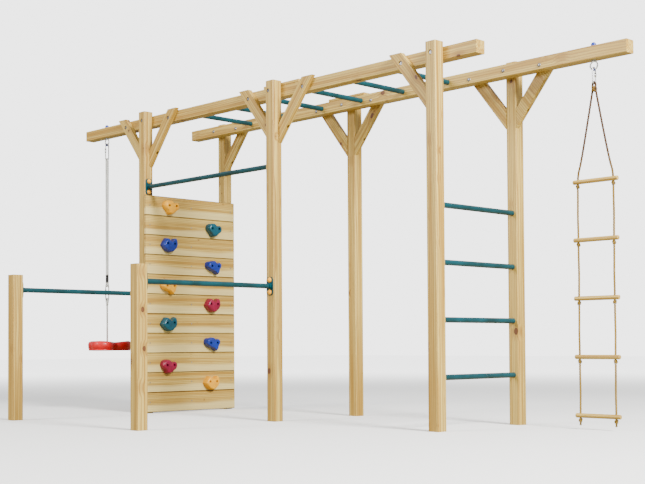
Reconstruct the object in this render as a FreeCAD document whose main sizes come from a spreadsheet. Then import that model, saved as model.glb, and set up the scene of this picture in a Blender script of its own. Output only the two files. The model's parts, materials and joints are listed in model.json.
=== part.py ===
"""Wooden monkey bars: six tall posts, two overhead beams, a climbing wall, a ladder, turning
bars, a rope swing and a rope ladder.

Frame: the origin is the middle of the foot of the middle front post, on the ground. +X runs along
the beams to the rope ladder, +Y runs from the front row of posts to the back row, +Z is up.
Sizes are in millimetres and angles in degrees.
"""

import FreeCAD, Part
import math
import os
import re

import Sketcher
from FreeCAD import Placement, Rotation, Vector

SIZES = {
    # posts
    "post_width": 70,
    "post_round": 8,
    "post_height": 2045,
    "short_post_height": 900,
    "left_bay": 1300,
    "right_bay": 1260,
    "row_spacing": 700,
    "short_post_reach": 990,
    # overhead beams, each spliced over its middle post
    "beam_width": 70,
    "beam_depth": 70,
    "beam_round": 4,
    "beam_top": 2020,
    "long_overhang": 780,
    "short_overhang": 250,
    "splice_offset": 28,
    "splice_length": 310,
    "splice_thickness": 16,
    # braces
    "brace_width": 70,
    "brace_thickness": 30,
    "brace_run": 293,
    "brace_drop": 353,
    "brace_rise": 12,
    "brace_bolt_out": 208,
    "brace_bolt_below": 45,
    "brace_screw_up": 92,
    # carriage bolts through posts, braces and beams
    "bolt_diameter": 10,
    "bolt_head_diameter": 22,
    "bolt_head_height": 5,
    "bolt_clearance": 0.4,
    "nut_width": 17,
    "nut_height": 8,
    "washer_diameter": 22,
    "washer_height": 2,
    "recess_diameter": 26,
    "recess_depth": 14,
    "middle_bolt_shift": 12,
    # wood screws
    "screw_diameter": 5,
    "screw_head_diameter": 9,
    "screw_head_height": 3,
    "coach_screw_diameter": 8,
    "coach_head_diameter": 14,
    "coach_head_height": 5,
    "screw_clearance": 0.2,
    # steel rungs
    "rung_diameter": 30,
    "rung_wall": 2,
    "rung_socket": 30,
    "socket_clearance": 0.5,
    "overhead_rung_first": 410,
    "overhead_rung_pitch": 350,
    "ladder_rung_first": 280,
    "ladder_rung_pitch": 303,
    # turning bars
    "bar_diameter": 30,
    "bar_wall": 2,
    "high_bar_height": 1533,
    "low_bar_height": 807,
    "flange_height": 110,
    "flange_width": 56,
    "flange_thickness": 4,
    "flange_round": 20,
    "collar_diameter": 38,
    "collar_length": 14,
    "collar_clearance": 0.2,
    "cap_diameter": 32,
    "cap_height": 12,
    "cap_pitch": 73,
    # climbing wall
    "wall_overhang": 3,
    "wall_bottom": 6,
    "board_pitch": 133.5,
    "board_thickness": 18,
    "board_chamfer": 3,
    "tongue_thickness": 6,
    "tongue_height": 7,
    "tongue_clearance": 0.5,
    "batten_width": 45,
    "batten_thickness": 30,
    "batten_margin": 20,
    "wall_screw_inset": 34,
    # climbing holds
    "hold_width": 124,
    "hold_height": 98,
    "hold_depth": 48,
    "hold_flank": 0.55,
    "hold_waist": 0.96,
    "hold_front": 0.72,
    "hold_screw_pitch": 60,
    "hold_screw_rise": 10,
    "hold_screw_sink": 24,
    # eye bolts under the beams' long ends
    "eye_reach": 565,
    "eye_wire": 8,
    "eye_radius": 22,
    "eye_shank": 10,
    "eye_collar_diameter": 30,
    "eye_collar_height": 3,
    "eye_cap_diameter": 27,
    "eye_cap_height": 25,
    "bush_diameter": 14,
    "bush_angle": 34,
    "bush_clearance": 0.2,
    "link_clearance": 0.6,
    # carabiners
    "carabiner_wire": 7,
    "carabiner_radius": 13,
    "ladder_carabiner_length": 86,
    "swing_carabiner_length": 118,
    # swing
    "swing_rope": 12,
    "saddle_clearance": 0.7,
    "sleeve_top": 963,
    "sleeve_length": 52,
    "sleeve_width": 32,
    "sleeve_depth": 18,
    "sleeve_strand_gap": 13,
    "hook_top": 893,
    "hook_length": 108,
    "hook_wire": 7,
    "hook_radius": 13,
    "seat_top": 488,
    "seat_thickness": 66,
    "seat_lobe_radius": 80,
    "seat_lobe_reach": 90,
    "seat_turn": 65,
    "seat_round": 20,
    "seat_bore": 13,
    "seat_wall": 5,
    "seat_hub": 40,
    "seat_hub_rise": 37,
    "seat_knot": 34,
    # rope ladder
    "ladder_rope": 10,
    "ladder_rung_length": 270,
    "ladder_rung_thickness": 24,
    "ladder_rope_spacing": 216,
    "rope_ladder_top_rung": 1313,
    "rope_ladder_pitch": 310,
    "rope_hole": 11,
    "top_knot": 34,
    "top_knot_below": 27,
    "knot": 24,
    "knot_clearance": 0.3,
    "rope_tail": 20,
}

BOARD_COUNT = 11
OVERHEAD_RUNG_COUNT = 6
LADDER_RUNG_COUNT = 4
ROPE_LADDER_RUNG_COUNT = 5

# climbing holds: colour, outline, distance across the wall, height
HOLDS = (
    ("yellow", "heart", 195, 1400),
    ("green", "heart", 572, 1267),
    ("blue", "ears", 180, 1142),
    ("blue", "tail", 566, 1003),
    ("yellow", "tail", 175, 853),
    ("red", "ears", 556, 737),
    ("green", "ears", 174, 602),
    ("blue", "tail", 553, 463),
    ("red", "heart", 174, 312),
    ("yellow", "ears", 545, 193),
)

# braces: name, post, side of the post that it leans away from
FRONT_BRACES = (("left", "outer", -1), ("left", "inner", 1), ("middle", "outer", -1), ("middle", "inner", 1),
                ("right", "outer", -1))
BACK_BRACES = (("left", "inner", 1), ("middle", "outer", -1), ("middle", "inner", 1), ("right", "outer", -1),
               ("right", "inner", 1))

doc = FreeCAD.newDocument("monkey_bars")
sheet = doc.addObject("Spreadsheet::Sheet", "Dimensions")
for row, (alias, value) in enumerate(SIZES.items(), start=1):
    sheet.set(f"A{row}", alias)
    sheet.set(f"B{row}", str(value))
    sheet.setAlias(f"B{row}", alias)
doc.recompute()

nodes = {}


# ---- helpers: values, expressions and placements ----

def size(name):
    """A driving dimension, read from the sheet."""
    return float(sheet.get(name))


def bind(thing, property_name, formula):
    """Ties a property to a formula of driving dimensions."""
    words = re.sub(r"[a-z_]+", lambda m: f"Dimensions.{m[0]}" if m[0] in SIZES else m[0], str(formula))
    thing.setExpression(property_name, words)


def place(thing, x, y, z, rotation=None):
    """Puts a thing at a point given by three formulas."""
    if rotation is not None:
        thing.Placement = Placement(Vector(), rotation)
    for letter, formula in zip("xyz", (x, y, z)):
        bind(thing, f"Placement.Base.{letter}", formula)
    return thing


def keep(name, thing):
    """Registers a finished sub-part under its node name."""
    thing.Label = name
    nodes[name] = thing
    return thing


# ---- helpers: bodies made from sketches ----

def new_body(name, x, y, z):
    return place(doc.addObject("PartDesign::Body", name), x, y, z)


def new_sketch(body, plane, name):
    """A sketch on one of the body's own origin planes: XY_Plane, XZ_Plane or YZ_Plane."""
    sketch = body.newObject("Sketcher::SketchObject", name)
    support = [item for item in body.Origin.OriginFeatures if item.Role == plane]
    sketch.AttachmentSupport = (support[0], "")
    sketch.MapMode = "FlatFace"
    return sketch


def outline(sketch, points):
    """Closed outline of straight lines, whose corners are pairs of formulas."""
    count = len(points)
    spread = [Vector(10 * math.cos(i * 2 * math.pi / count), 10 * math.sin(i * 2 * math.pi / count), 0)
              for i in range(count)]
    for i in range(count):
        sketch.addGeometry(Part.LineSegment(spread[i], spread[(i + 1) % count]), False)
    for i in range(count):
        sketch.addConstraint(Sketcher.Constraint("Coincident", i, 2, (i + 1) % count, 1))
    for i, (across, up) in enumerate(points):
        for kind, start, formula in (("DistanceX", spread[i].x, across), ("DistanceY", spread[i].y, up)):
            index = sketch.addConstraint(Sketcher.Constraint(kind, -1, 1, i, 1, start))
            bind(sketch, f"Constraints[{index}]", formula)


def centred_rectangle(sketch, width, height):
    half_w, half_h = f"({width}) / 2", f"({height}) / 2"
    outline(sketch, ((f"-({half_w})", f"-({half_h})"), (half_w, f"-({half_h})"), (half_w, half_h),
                     (f"-({half_w})", half_h)))


def pad(body, sketch, length, backwards=False):
    feature = body.newObject("PartDesign::Pad", sketch.Name + "_pad")
    feature.Profile = sketch
    feature.Reversed = backwards
    bind(feature, "Length", length)
    sketch.Visibility = False
    doc.recompute()
    return feature


def edges_along(shape, direction, accept=lambda middle: True):
    """Names of the straight edges that run along a direction, in the body's own frame."""
    found = []
    for index, edge in enumerate(shape.Edges, start=1):
        if not isinstance(edge.Curve, (Part.Line, Part.LineSegment)):
            continue
        along = (edge.lastVertex().Point - edge.firstVertex().Point).normalize()
        if abs(abs(along.dot(direction)) - 1) < 1e-6 and accept(edge.CenterOfMass):
            found.append(f"Edge{index}")
    return found


def dress(body, kind, base, edges, property_name, formula):
    """A PartDesign Fillet or Chamfer on some edges of a feature."""
    feature = body.newObject(f"PartDesign::{kind}", f"{base.Name}_{kind.lower()}")
    feature.Base = (base, edges)
    bind(feature, property_name, formula)
    doc.recompute()
    return feature


def timber(name, plane, width, height, length, round_over, x, y, z):
    """A straight rounded bar of timber, padded from its section along the plane's normal."""
    body = new_body(name, x, y, z)
    sketch = new_sketch(body, plane, name + "_section")
    centred_rectangle(sketch, width, height)
    bar = pad(body, sketch, length)
    direction = Vector(0, 0, 1) if plane == "XY_Plane" else Vector(1, 0, 0)
    dress(body, "Fillet", bar, edges_along(bar.Shape, direction), "Radius", round_over)
    return body


# ---- helpers: solids of revolution and groups ----

def cylinder(diameter, length, base, axis=Vector(0, 0, 1)):
    return Part.makeCylinder(diameter / 2, length, base, axis)


def turned(solid, base, axis):
    """Moves a solid made along +Z so that it starts at base and runs along axis."""
    moved = solid.copy()
    moved.Placement = Placement(base, Rotation(Vector(0, 0, 1), axis))
    return moved


def group(name, solids):
    """A feature that holds a group of separate solids."""
    feature = doc.addObject("Part::Feature", name)
    feature.Shape = Part.makeCompound(solids)
    return feature


def near(solids, shape):
    """The solids whose boxes meet a shape's box."""
    return [solid for solid in solids if solid.BoundBox.intersect(shape.BoundBox)]


drills = []


def drilled(name, blank):
    """The blank with every hole that the fasteners and rungs need in it."""
    cut = doc.addObject("Part::Cut", name + "_drilled")
    cut.Base = blank
    cut.Tool = group(name + "_drills", near(drills, blank.Shape))
    cut.Refine = True
    doc.recompute()
    return cut


# ---- places that several sub-parts share ----

half_post = size("post_width") / 2
front_beam_y = half_post + size("beam_width") / 2
back_beam_y = size("row_spacing") - half_post - size("beam_width") / 2
beam_middle_z = size("beam_top") - size("beam_depth") / 2
beam_bottom_z = size("beam_top") - size("beam_depth")
column_x = {"left": -size("left_bay"), "middle": 0.0, "right": size("right_bay")}
COLUMN_FORMULA = {"left": "-left_bay", "middle": "0", "right": "right_bay"}
ROW_FORMULA = {"front": "0", "back": "row_spacing"}
BEAM_FORMULA = {"front": "(post_width + beam_width) / 2", "back": "row_spacing - (post_width + beam_width) / 2"}
wall_back_x = -size("left_bay") + half_post
wall_face_x = wall_back_x + size("board_thickness")
wall_middle_y = size("row_spacing") / 2
wall_width = size("row_spacing") + size("post_width") + 2 * size("wall_overhang")
wall_start_y = wall_middle_y - wall_width / 2
eye_x = {"swing": -size("left_bay") - size("eye_reach"), "ladder": size("right_bay") + size("eye_reach")}
eye_y = {"swing": front_beam_y, "ladder": back_beam_y}
ring_z = beam_bottom_z - size("eye_collar_height") - size("eye_radius") - size("eye_wire") / 2
eye_foot_z = ring_z - size("eye_radius")


# ---- fasteners and the holes that they need ----

def make_carriage_bolt(grip):
    """Domed head below z = 0, shank up through the grip, and room for washer and nut."""
    dome_radius = size("bolt_head_diameter") / 2
    dome = Part.makeSphere(dome_radius, Vector(), Vector(0, 0, 1), -90, 0, 360)
    dome = flattened(dome, size("bolt_head_height"))
    shank = cylinder(size("bolt_diameter"), grip + size("washer_height") + size("nut_height") + 2, Vector())
    return dome.fuse(shank).removeSplitter()


def flattened(dome, height):
    """A half ball squeezed along Z to a given height."""
    matrix = FreeCAD.Matrix()
    matrix.scale(1, 1, height / dome.BoundBox.ZLength)
    return dome.transformGeometry(matrix)


def make_washer(bore):
    washer = cylinder(size("washer_diameter"), size("washer_height"), Vector())
    return washer.cut(cylinder(bore, size("washer_height"), Vector()))


def make_nut(bore):
    corner = size("nut_width") / math.sqrt(3)
    points = [Vector(corner * math.cos(i * math.pi / 3), corner * math.sin(i * math.pi / 3), 0) for i in range(7)]
    prism = Part.Face(Part.makePolygon(points)).extrude(Vector(0, 0, size("nut_height")))
    return prism.cut(cylinder(bore, size("nut_height"), Vector()))


def make_wood_screw(length, diameter, head_diameter, head_height, grow=0.0):
    """Flat head with its top at z = 0, countersunk into a shank that runs down to a point."""
    radius = diameter / 2 + grow
    head = Part.makeCone(radius, head_diameter / 2 + grow, head_height, Vector(0, 0, -head_height))
    shank = Part.makeCylinder(radius, length - head_height - diameter, Vector(0, 0, -length + diameter))
    point = Part.makeCone(radius / 4, radius, diameter, Vector(0, 0, -length))
    return head.fuse([shank, point]).removeSplitter()


def make_coach_screw(length, grow=0.0):
    """Flat round head above z = 0 and a shank that runs down to a point."""
    radius = size("coach_screw_diameter") / 2 + grow
    head = cylinder(size("coach_head_diameter") + 2 * grow, size("coach_head_height"), Vector())
    shank = Part.makeCylinder(radius, length - 2 * radius, Vector(0, 0, -length + 2 * radius))
    point = Part.makeCone(radius / 4, radius, 2 * radius, Vector(0, 0, -length))
    return head.fuse([shank, point]).removeSplitter()


bolt_solids = []
screw_solids = []


def add_bolt(x, y_head, z, grip, direction):
    """A carriage bolt with its domed head on a beam's inner face and its nut sunk in the outer piece."""
    axis = Vector(0, direction, 0)
    head = Vector(x, y_head, z)
    sunk = grip - size("recess_depth")
    bore = size("bolt_diameter") + 2 * size("bolt_clearance")
    for solid, distance in ((make_carriage_bolt(sunk), 0), (make_washer(bore), sunk),
                            (make_nut(bore), sunk + size("washer_height"))):
        bolt_solids.append(turned(solid, head + axis * distance, axis))
    hole = cylinder(bore, grip, head, axis)
    recess = cylinder(size("recess_diameter"), size("recess_depth"), head + axis * sunk, axis)
    drills.append(hole.fuse(recess).removeSplitter())


def add_wood_screw(head, axis, length):
    sizes = [size(word) for word in ("screw_diameter", "screw_head_diameter", "screw_head_height")]
    screw_solids.append(turned(make_wood_screw(length, *sizes), head, axis))
    drills.append(turned(make_wood_screw(length, *sizes, grow=size("screw_clearance")), head, axis))


def add_coach_screw(seat, axis, length, access=0.0):
    """A coach screw whose head sits on seat; access is the depth of the hole above the head."""
    grow = size("screw_clearance")
    screw_solids.append(turned(make_coach_screw(length), seat, axis))
    drill = make_coach_screw(length, grow)
    if access:
        drill = drill.fuse(cylinder(size("coach_head_diameter") + 4, access, Vector())).removeSplitter()
    drills.append(turned(drill, seat, axis))


def brace_angle():
    return math.atan2(size("brace_drop") + size("brace_rise"), size("brace_run"))


def plan_frame_fasteners():
    through = size("post_width") + size("beam_width")
    brace_through = size("brace_thickness") + size("beam_width")
    rows = {"front": (half_post + size("beam_width"), -1, FRONT_BRACES),
            "back": (size("row_spacing") - half_post - size("beam_width"), 1, BACK_BRACES)}
    for row, (inner_y, direction, braces) in rows.items():
        for column, x in column_x.items():
            shift = -size("middle_bolt_shift") if column == "middle" else 0
            add_bolt(x + shift, inner_y, beam_middle_z, through, direction)
        for column, _, side in braces:
            face = column_x[column] + side * half_post
            bolt_x = face + side * size("brace_bolt_out")
            add_bolt(bolt_x, inner_y, size("beam_top") - size("brace_bolt_below"), brace_through, direction)
            edge_out = size("brace_screw_up") / math.tan(brace_angle())
            seat_out = edge_out * 0.55
            screw_y = inner_y + direction * (size("beam_width") + size("brace_thickness") / 2)
            screw_z = size("beam_top") - size("brace_drop") + size("brace_screw_up")
            seat = Vector(face + side * seat_out, screw_y, screw_z)
            add_coach_screw(seat, Vector(side, 0, 0), seat_out + half_post, access=edge_out * 1.2)


def plan_wall_fasteners():
    columns = (wall_start_y + size("wall_screw_inset"), wall_middle_y,
               wall_start_y + wall_width - size("wall_screw_inset"))
    for board in range(BOARD_COUNT):
        z = size("wall_bottom") + size("board_pitch") * (board + 0.5)
        for y in columns:
            add_wood_screw(Vector(wall_face_x, y, z), Vector(1, 0, 0), size("board_thickness") + 25)
    for _, _, across, height in HOLDS:
        for side in (-1, 1):
            y = wall_start_y + across + side * size("hold_screw_pitch") / 2
            z = height + size("hold_screw_rise")
            x = wall_face_x + size("hold_depth") - size("hold_screw_sink")
            room = size("hold_screw_sink") + 1
            length = size("hold_depth") - size("hold_screw_sink") + size("board_thickness") - 2
            add_coach_screw(Vector(x, y, z), Vector(1, 0, 0), length, access=room)


def plan_splice_screws():
    for y in (front_beam_y, back_beam_y):
        for out in (-0.4, -0.2, 0.2, 0.4):
            x = size("splice_offset") + out * size("splice_length")
            top = Vector(x, y, size("beam_top") + size("splice_thickness"))
            add_wood_screw(top, Vector(0, 0, 1), size("splice_thickness") + 30)


# turning bars: name, where the two flanges sit on the posts, and the way from the first to the second
def bar_ends():
    low_z, high_z = size("low_bar_height"), size("high_bar_height")
    reach = -size("short_post_reach") + half_post
    left, middle = column_x["left"], column_x["middle"]
    return {
        "high_bar": (Vector(left + half_post, 0, high_z), Vector(middle - half_post, 0, high_z)),
        "low_bar_left": (Vector(left, -half_post, low_z), Vector(left, reach, low_z)),
        "low_bar_right": (Vector(middle, -half_post, low_z), Vector(middle, reach, low_z)),
    }


def plan_bar_screws():
    for start, end in bar_ends().values():
        way = (end - start).normalize()
        for foot, out in ((start, way), (end, way * -1)):
            for side in (-1, 1):
                seat = foot + out * size("flange_thickness") + Vector(0, 0, side * size("cap_pitch") / 2)
                add_coach_screw(seat, out, size("flange_thickness") + 45)


def plan_eye_holes():
    hole = size("eye_shank") + 2 * size("bolt_clearance")
    for place_name in ("swing", "ladder"):
        foot = Vector(eye_x[place_name], eye_y[place_name], beam_bottom_z)
        drills.append(cylinder(hole, size("beam_depth"), foot))


def rung_places():
    """Start points of the overhead rungs and of the ladder rungs, in their sockets."""
    overhead_y = half_post + size("beam_width") - size("rung_socket")
    ladder_y = half_post - size("rung_socket")
    overhead = [Vector(-size("left_bay") + size("overhead_rung_first") + i * size("overhead_rung_pitch"),
                       overhead_y, beam_middle_z) for i in range(OVERHEAD_RUNG_COUNT)]
    ladder = [Vector(size("right_bay"), ladder_y, size("ladder_rung_first") + i * size("ladder_rung_pitch"))
              for i in range(LADDER_RUNG_COUNT)]
    return overhead, ladder


def rung_length(start):
    return size("row_spacing") - 2 * start.y


def plan_rung_sockets():
    for start in sum(rung_places(), []):
        wide = size("rung_diameter") + 2 * size("socket_clearance")
        drills.append(cylinder(wide, rung_length(start), start, Vector(0, 1, 0)))


# ---- sub-parts of the frame ----

def build_posts():
    for row, y in ROW_FORMULA.items():
        for column, x in COLUMN_FORMULA.items():
            name = f"{row}_post_{column}"
            blank = timber(name + "_blank", "XY_Plane", "post_width", "post_width", "post_height", "post_round",
                           x, y, "0")
            keep(name, drilled(name, blank))
    for column in ("left", "middle"):
        name = f"short_post_{column}"
        blank = timber(name + "_blank", "XY_Plane", "post_width", "post_width", "short_post_height", "post_round",
                       COLUMN_FORMULA[column], "-short_post_reach", "0")
        keep(name, drilled(name, blank))


def build_beams():
    starts = {"front": ("long_overhang", "short_overhang"), "back": ("short_overhang", "long_overhang")}
    for row, (left_end, right_end) in starts.items():
        halves = {
            "left": (f"-left_bay - {left_end}", f"left_bay + {left_end} + splice_offset"),
            "right": ("splice_offset", f"right_bay + {right_end} - splice_offset"),
        }
        for half, (start, length) in halves.items():
            name = f"{row}_beam_{half}"
            blank = timber(name + "_blank", "YZ_Plane", "beam_width", "beam_depth", length, "beam_round",
                           start, BEAM_FORMULA[row], "beam_top - beam_depth / 2")
            keep(name, drilled(name, blank))


def build_splice_plates():
    plates = []
    for row in ("front", "back"):
        name = f"{row}_splice_plate"
        blank = timber(name + "_blank", "YZ_Plane", "beam_width", "splice_thickness", "splice_length", "2",
                       "splice_offset - splice_length / 2", BEAM_FORMULA[row], "beam_top + splice_thickness / 2")
        plates.append(drilled(name, blank))
    compound = doc.addObject("Part::Compound", "splice_plates_group")
    compound.Links = plates
    keep("splice_plates", compound)


def build_braces():
    """A brace is cut plumb against its post and level above the beam, with parallel long edges."""
    top = "beam_top + brace_rise"
    foot = "beam_top - brace_drop"
    slope = "((brace_drop + brace_rise) / brace_run)"
    across = f"(brace_width * sqrt(1 + 1 / ({slope} * {slope})))"
    upward = f"(brace_width * sqrt(1 + {slope} * {slope}))"
    rows = {"front": (FRONT_BRACES, "post_width / 2 - brace_thickness"),
            "back": (BACK_BRACES, "row_spacing - post_width / 2")}
    for row, (braces, y) in rows.items():
        for column, place_name, side in braces:
            name = f"{row}_brace_{column}_{place_name}"
            sign = "-1" if side < 0 else "1"
            body = new_body(name + "_blank", f"{COLUMN_FORMULA[column]} + ({sign}) * post_width / 2", y, "0")
            sketch = new_sketch(body, "XZ_Plane", name + "_outline")
            outline(sketch, (("0", foot), (f"({sign}) * brace_run", top),
                             (f"({sign}) * (brace_run - {across})", top), ("0", f"{foot} + {upward}")))
            board = pad(body, sketch, "brace_thickness", backwards=True)
            thick = edges_along(board.Shape, Vector(math.cos(brace_angle()) * side, 0, math.sin(brace_angle())))
            dress(body, "Fillet", board, thick, "Radius", "3")
            keep(name, drilled(name, body))


def build_rungs():
    overhead, ladder = rung_places()
    for name, starts in (("overhead_rungs", overhead), ("ladder_rungs", ladder)):
        tubes = []
        for start in starts:
            solid = cylinder(size("rung_diameter"), rung_length(start), start, Vector(0, 1, 0))
            inside = size("rung_diameter") - 2 * size("rung_wall")
            tubes.append(solid.cut(cylinder(inside, rung_length(start), start, Vector(0, 1, 0))))
        keep(name, group(name, tubes))


def make_flange():
    """Plate on the post with a collar for the tube, made along +Z, with its long side along X."""
    width, height, round_over = size("flange_width"), size("flange_height"), size("flange_round")
    plate = Part.makeBox(height, width, size("flange_thickness"), Vector(-height / 2, -width / 2, 0))
    corners = [edge for edge in plate.Edges if abs(edge.tangentAt(edge.FirstParameter).z) > 0.9]
    plate = plate.makeFillet(round_over, corners)
    collar = cylinder(size("collar_diameter"), size("flange_thickness") + size("collar_length"), Vector())
    seat = cylinder(size("bar_diameter") + 2 * size("collar_clearance"), size("collar_length"),
                    Vector(0, 0, size("flange_thickness")))
    return plate.fuse(collar).cut(seat).removeSplitter()


def make_cap():
    """Domed cover for a screw head, open over the head, made along +Z."""
    dome = Part.makeSphere(size("cap_diameter") / 2, Vector(), Vector(0, 0, 1), 0, 90, 360)
    dome = flattened(dome, size("cap_height"))
    head = cylinder(size("coach_head_diameter") + 1, size("coach_head_height") + 0.5, Vector())
    return dome.cut(head)


def build_bars():
    flanges, caps, low_bars = [], [], []
    for name, (start, end) in bar_ends().items():
        way = (end - start).normalize()
        across = Vector(0, 0, 1).cross(way)
        for foot, out in ((start, way), (end, way * -1)):
            turn = Rotation(Vector(0, 0, 1), out.cross(Vector(0, 0, 1)) * -1, out, "ZYX")
            flange = make_flange()
            flange.Placement = Placement(foot, turn)
            flanges.append(flange)
            for side in (-1, 1):
                cap = make_cap()
                seat = foot + out * size("flange_thickness") + Vector(0, 0, side * size("cap_pitch") / 2)
                cap.Placement = Placement(seat, turn)
                caps.append(cap)
        first = start + way * size("flange_thickness")
        length = (end - start).Length - 2 * size("flange_thickness")
        inside = size("bar_diameter") - 2 * size("bar_wall")
        tube = cylinder(size("bar_diameter"), length, first, way).cut(cylinder(inside, length, first, way))
        if name == "high_bar":
            keep(name, group(name, [tube]))
        else:
            low_bars.append(tube)
    keep("low_bars", group("low_bars", low_bars))
    flange_group = group("bar_flanges_blank", flanges)
    keep("bar_flanges", drilled("bar_flanges", flange_group))
    keep("bar_caps", group("bar_caps", caps))


# ---- the climbing wall ----

def build_wall_boards():
    """Matched boards: a tongue on each upper edge fits the groove in the board above."""
    boards = []
    for number in range(BOARD_COUNT):
        name = f"wall_board_{number + 1}"
        body = new_body(name + "_blank", "-left_bay + post_width / 2 + board_thickness / 2",
                        "-(post_width / 2 + wall_overhang)", f"wall_bottom + board_pitch * {number}")
        sketch = new_sketch(body, "XZ_Plane", name + "_section")
        face, tongue = "board_thickness / 2", "tongue_thickness / 2"
        groove = "tongue_thickness / 2 + tongue_clearance"
        deep = "tongue_height + tongue_clearance"
        top = "board_pitch"
        points = [(f"-({face})", "0"), (f"-({groove})", "0"), (f"-({groove})", deep), (groove, deep),
                  (groove, "0"), (f"{face} - board_chamfer", "0"), (face, "board_chamfer"),
                  (face, f"{top} - board_chamfer"), (f"{face} - board_chamfer", top)]
        if number < BOARD_COUNT - 1:
            points += [(tongue, top), (tongue, f"{top} + tongue_height"), (f"-({tongue})", f"{top} + tongue_height"),
                       (f"-({tongue})", top)]
        points.append((f"-({face})", top))
        outline(sketch, points)
        pad(body, sketch, "row_spacing + post_width + 2 * wall_overhang", backwards=True)
        boards.append(drilled(name, body))
    compound = doc.addObject("Part::Compound", "wall_boards_group")
    compound.Links = boards
    keep("wall_boards", compound)


def build_batten():
    blank = timber("wall_batten_blank", "XY_Plane", "batten_thickness", "batten_width",
                   f"board_pitch * {BOARD_COUNT} - 2 * batten_margin", "3",
                   "-left_bay + post_width / 2 - batten_thickness / 2", "row_spacing / 2",
                   "wall_bottom + batten_margin")
    keep("wall_batten", drilled("wall_batten", blank))


def hold_outline(kind):
    """Outline of a climbing hold on a unit square: across is -0.5 to 0.5 and up is -0.5 to 0.5."""
    outlines = {
        "heart": [(0, 0.34), (0.2, 0.48), (0.42, 0.4), (0.5, 0.14), (0.36, -0.2), (0.1, -0.48), (-0.12, -0.46),
                  (-0.38, -0.18), (-0.5, 0.16), (-0.42, 0.42), (-0.2, 0.48)],
        "ears": [(0, 0.26), (0.16, 0.32), (0.36, 0.5), (0.5, 0.34), (0.48, 0), (0.36, -0.32), (0.08, -0.5),
                 (-0.24, -0.46), (-0.46, -0.2), (-0.5, 0.14), (-0.42, 0.46), (-0.2, 0.36)],
        "tail": [(-0.1, 0.44), (0.18, 0.5), (0.42, 0.38), (0.5, 0.1), (0.46, -0.3), (0.34, -0.5), (0.16, -0.34),
                 (-0.1, -0.38), (-0.36, -0.3), (-0.5, 0), (-0.38, 0.3)],
    }
    return outlines[kind]


def make_hold(kind):
    """A moulded hold, made along +X on the YZ plane: full at the wall and drawn in towards its front."""
    sections = []
    for along, share in ((0, 1.0), (size("hold_flank"), size("hold_waist")), (1, size("hold_front"))):
        points = [Vector(along * size("hold_depth"), across * share * size("hold_width"),
                         up * share * size("hold_height")) for across, up in hold_outline(kind)]
        curve = Part.BSplineCurve()
        curve.interpolate(points, PeriodicFlag=True)
        sections.append(Part.Wire(curve.toShape()))
    return Part.makeLoft(sections, True, False)


def build_holds():
    for colour in ("yellow", "green", "blue", "red"):
        holds = []
        for hold_colour, kind, across, height in HOLDS:
            if hold_colour == colour:
                hold = make_hold(kind)
                hold.translate(Vector(wall_face_x, wall_start_y + across, height))
                holds.append(hold)
        name = f"holds_{colour}"
        keep(name, drilled(name, group(name + "_blank", holds)))


# ---- eye bolts, carabiners and ropes ----

def build_eye_bolts():
    eyes, blues = [], []
    wire, radius = size("eye_wire") / 2, size("eye_radius")
    for place_name in ("swing", "ladder"):
        middle = Vector(eye_x[place_name], eye_y[place_name], ring_z)
        ring = Part.makeTorus(radius, wire, middle, Vector(0, 1, 0))
        collar = cylinder(size("eye_collar_diameter"), size("eye_collar_height"),
                          Vector(middle.x, middle.y, beam_bottom_z - size("eye_collar_height")))
        neck_z = ring_z + radius
        top_z = size("beam_top") + size("washer_height") + size("nut_height") + 2
        shank = cylinder(size("eye_shank"), top_z - neck_z, Vector(middle.x, middle.y, neck_z))
        eyes.append(ring.fuse([collar, shank]).removeSplitter())
        bore = size("eye_shank") + 2 * size("bolt_clearance")
        on_top = Vector(middle.x, middle.y, size("beam_top"))
        up = Vector(0, 0, 1)
        bolt_solids.append(turned(make_washer(bore), on_top, up))
        bolt_solids.append(turned(make_nut(bore), on_top + up * size("washer_height"), up))
        blues.append(make_eye_cap(on_top))
        blues.append(make_bush(middle))
    keep("eye_bolts", group("eye_bolts", eyes))
    keep("eye_caps", group("eye_caps", blues))


def make_eye_cap(foot):
    """Hollow domed cap over the nut on top of the beam."""
    outer = size("eye_cap_diameter")
    straight = size("eye_cap_height") - outer / 2
    cap = cylinder(outer, straight, Vector()).fuse(
        Part.makeSphere(outer / 2, Vector(0, 0, straight), Vector(0, 0, 1), 0, 90, 360))
    room = cylinder(outer - 4, size("washer_height") + size("nut_height") + 3, Vector())
    cap = cap.cut(room).removeSplitter()
    cap.translate(foot)
    return cap


def make_bush(middle):
    """Plastic sleeve round the lowest stretch of an eye's wire."""
    half = size("bush_angle") / 2
    outer = Part.makeTorus(size("eye_radius"), size("bush_diameter") / 2, Vector(), Vector(0, 0, 1), 0, 360, 2 * half)
    inner = Part.makeTorus(size("eye_radius"), size("eye_wire") / 2 + size("bush_clearance"), Vector())
    bush = outer.cut(inner)
    start_at_side = Rotation(Vector(0, 0, 1), -half)
    lowest = Rotation(Vector(1, 0, 0), 90).multiply(Rotation(Vector(0, 0, 1), -90)).multiply(start_at_side)
    bush.Placement = Placement(middle, lowest)
    return bush


def tube_along(wire, diameter):
    """A round tube along a wire of straight runs and tangent arcs."""
    first = wire.OrderedEdges[0]
    start = first.valueAt(first.FirstParameter)
    along = first.tangentAt(first.FirstParameter)
    circle = Part.Wire(Part.makeCircle(diameter / 2, start, along))
    return wire.makePipeShell([circle], True, False, 2)


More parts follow.
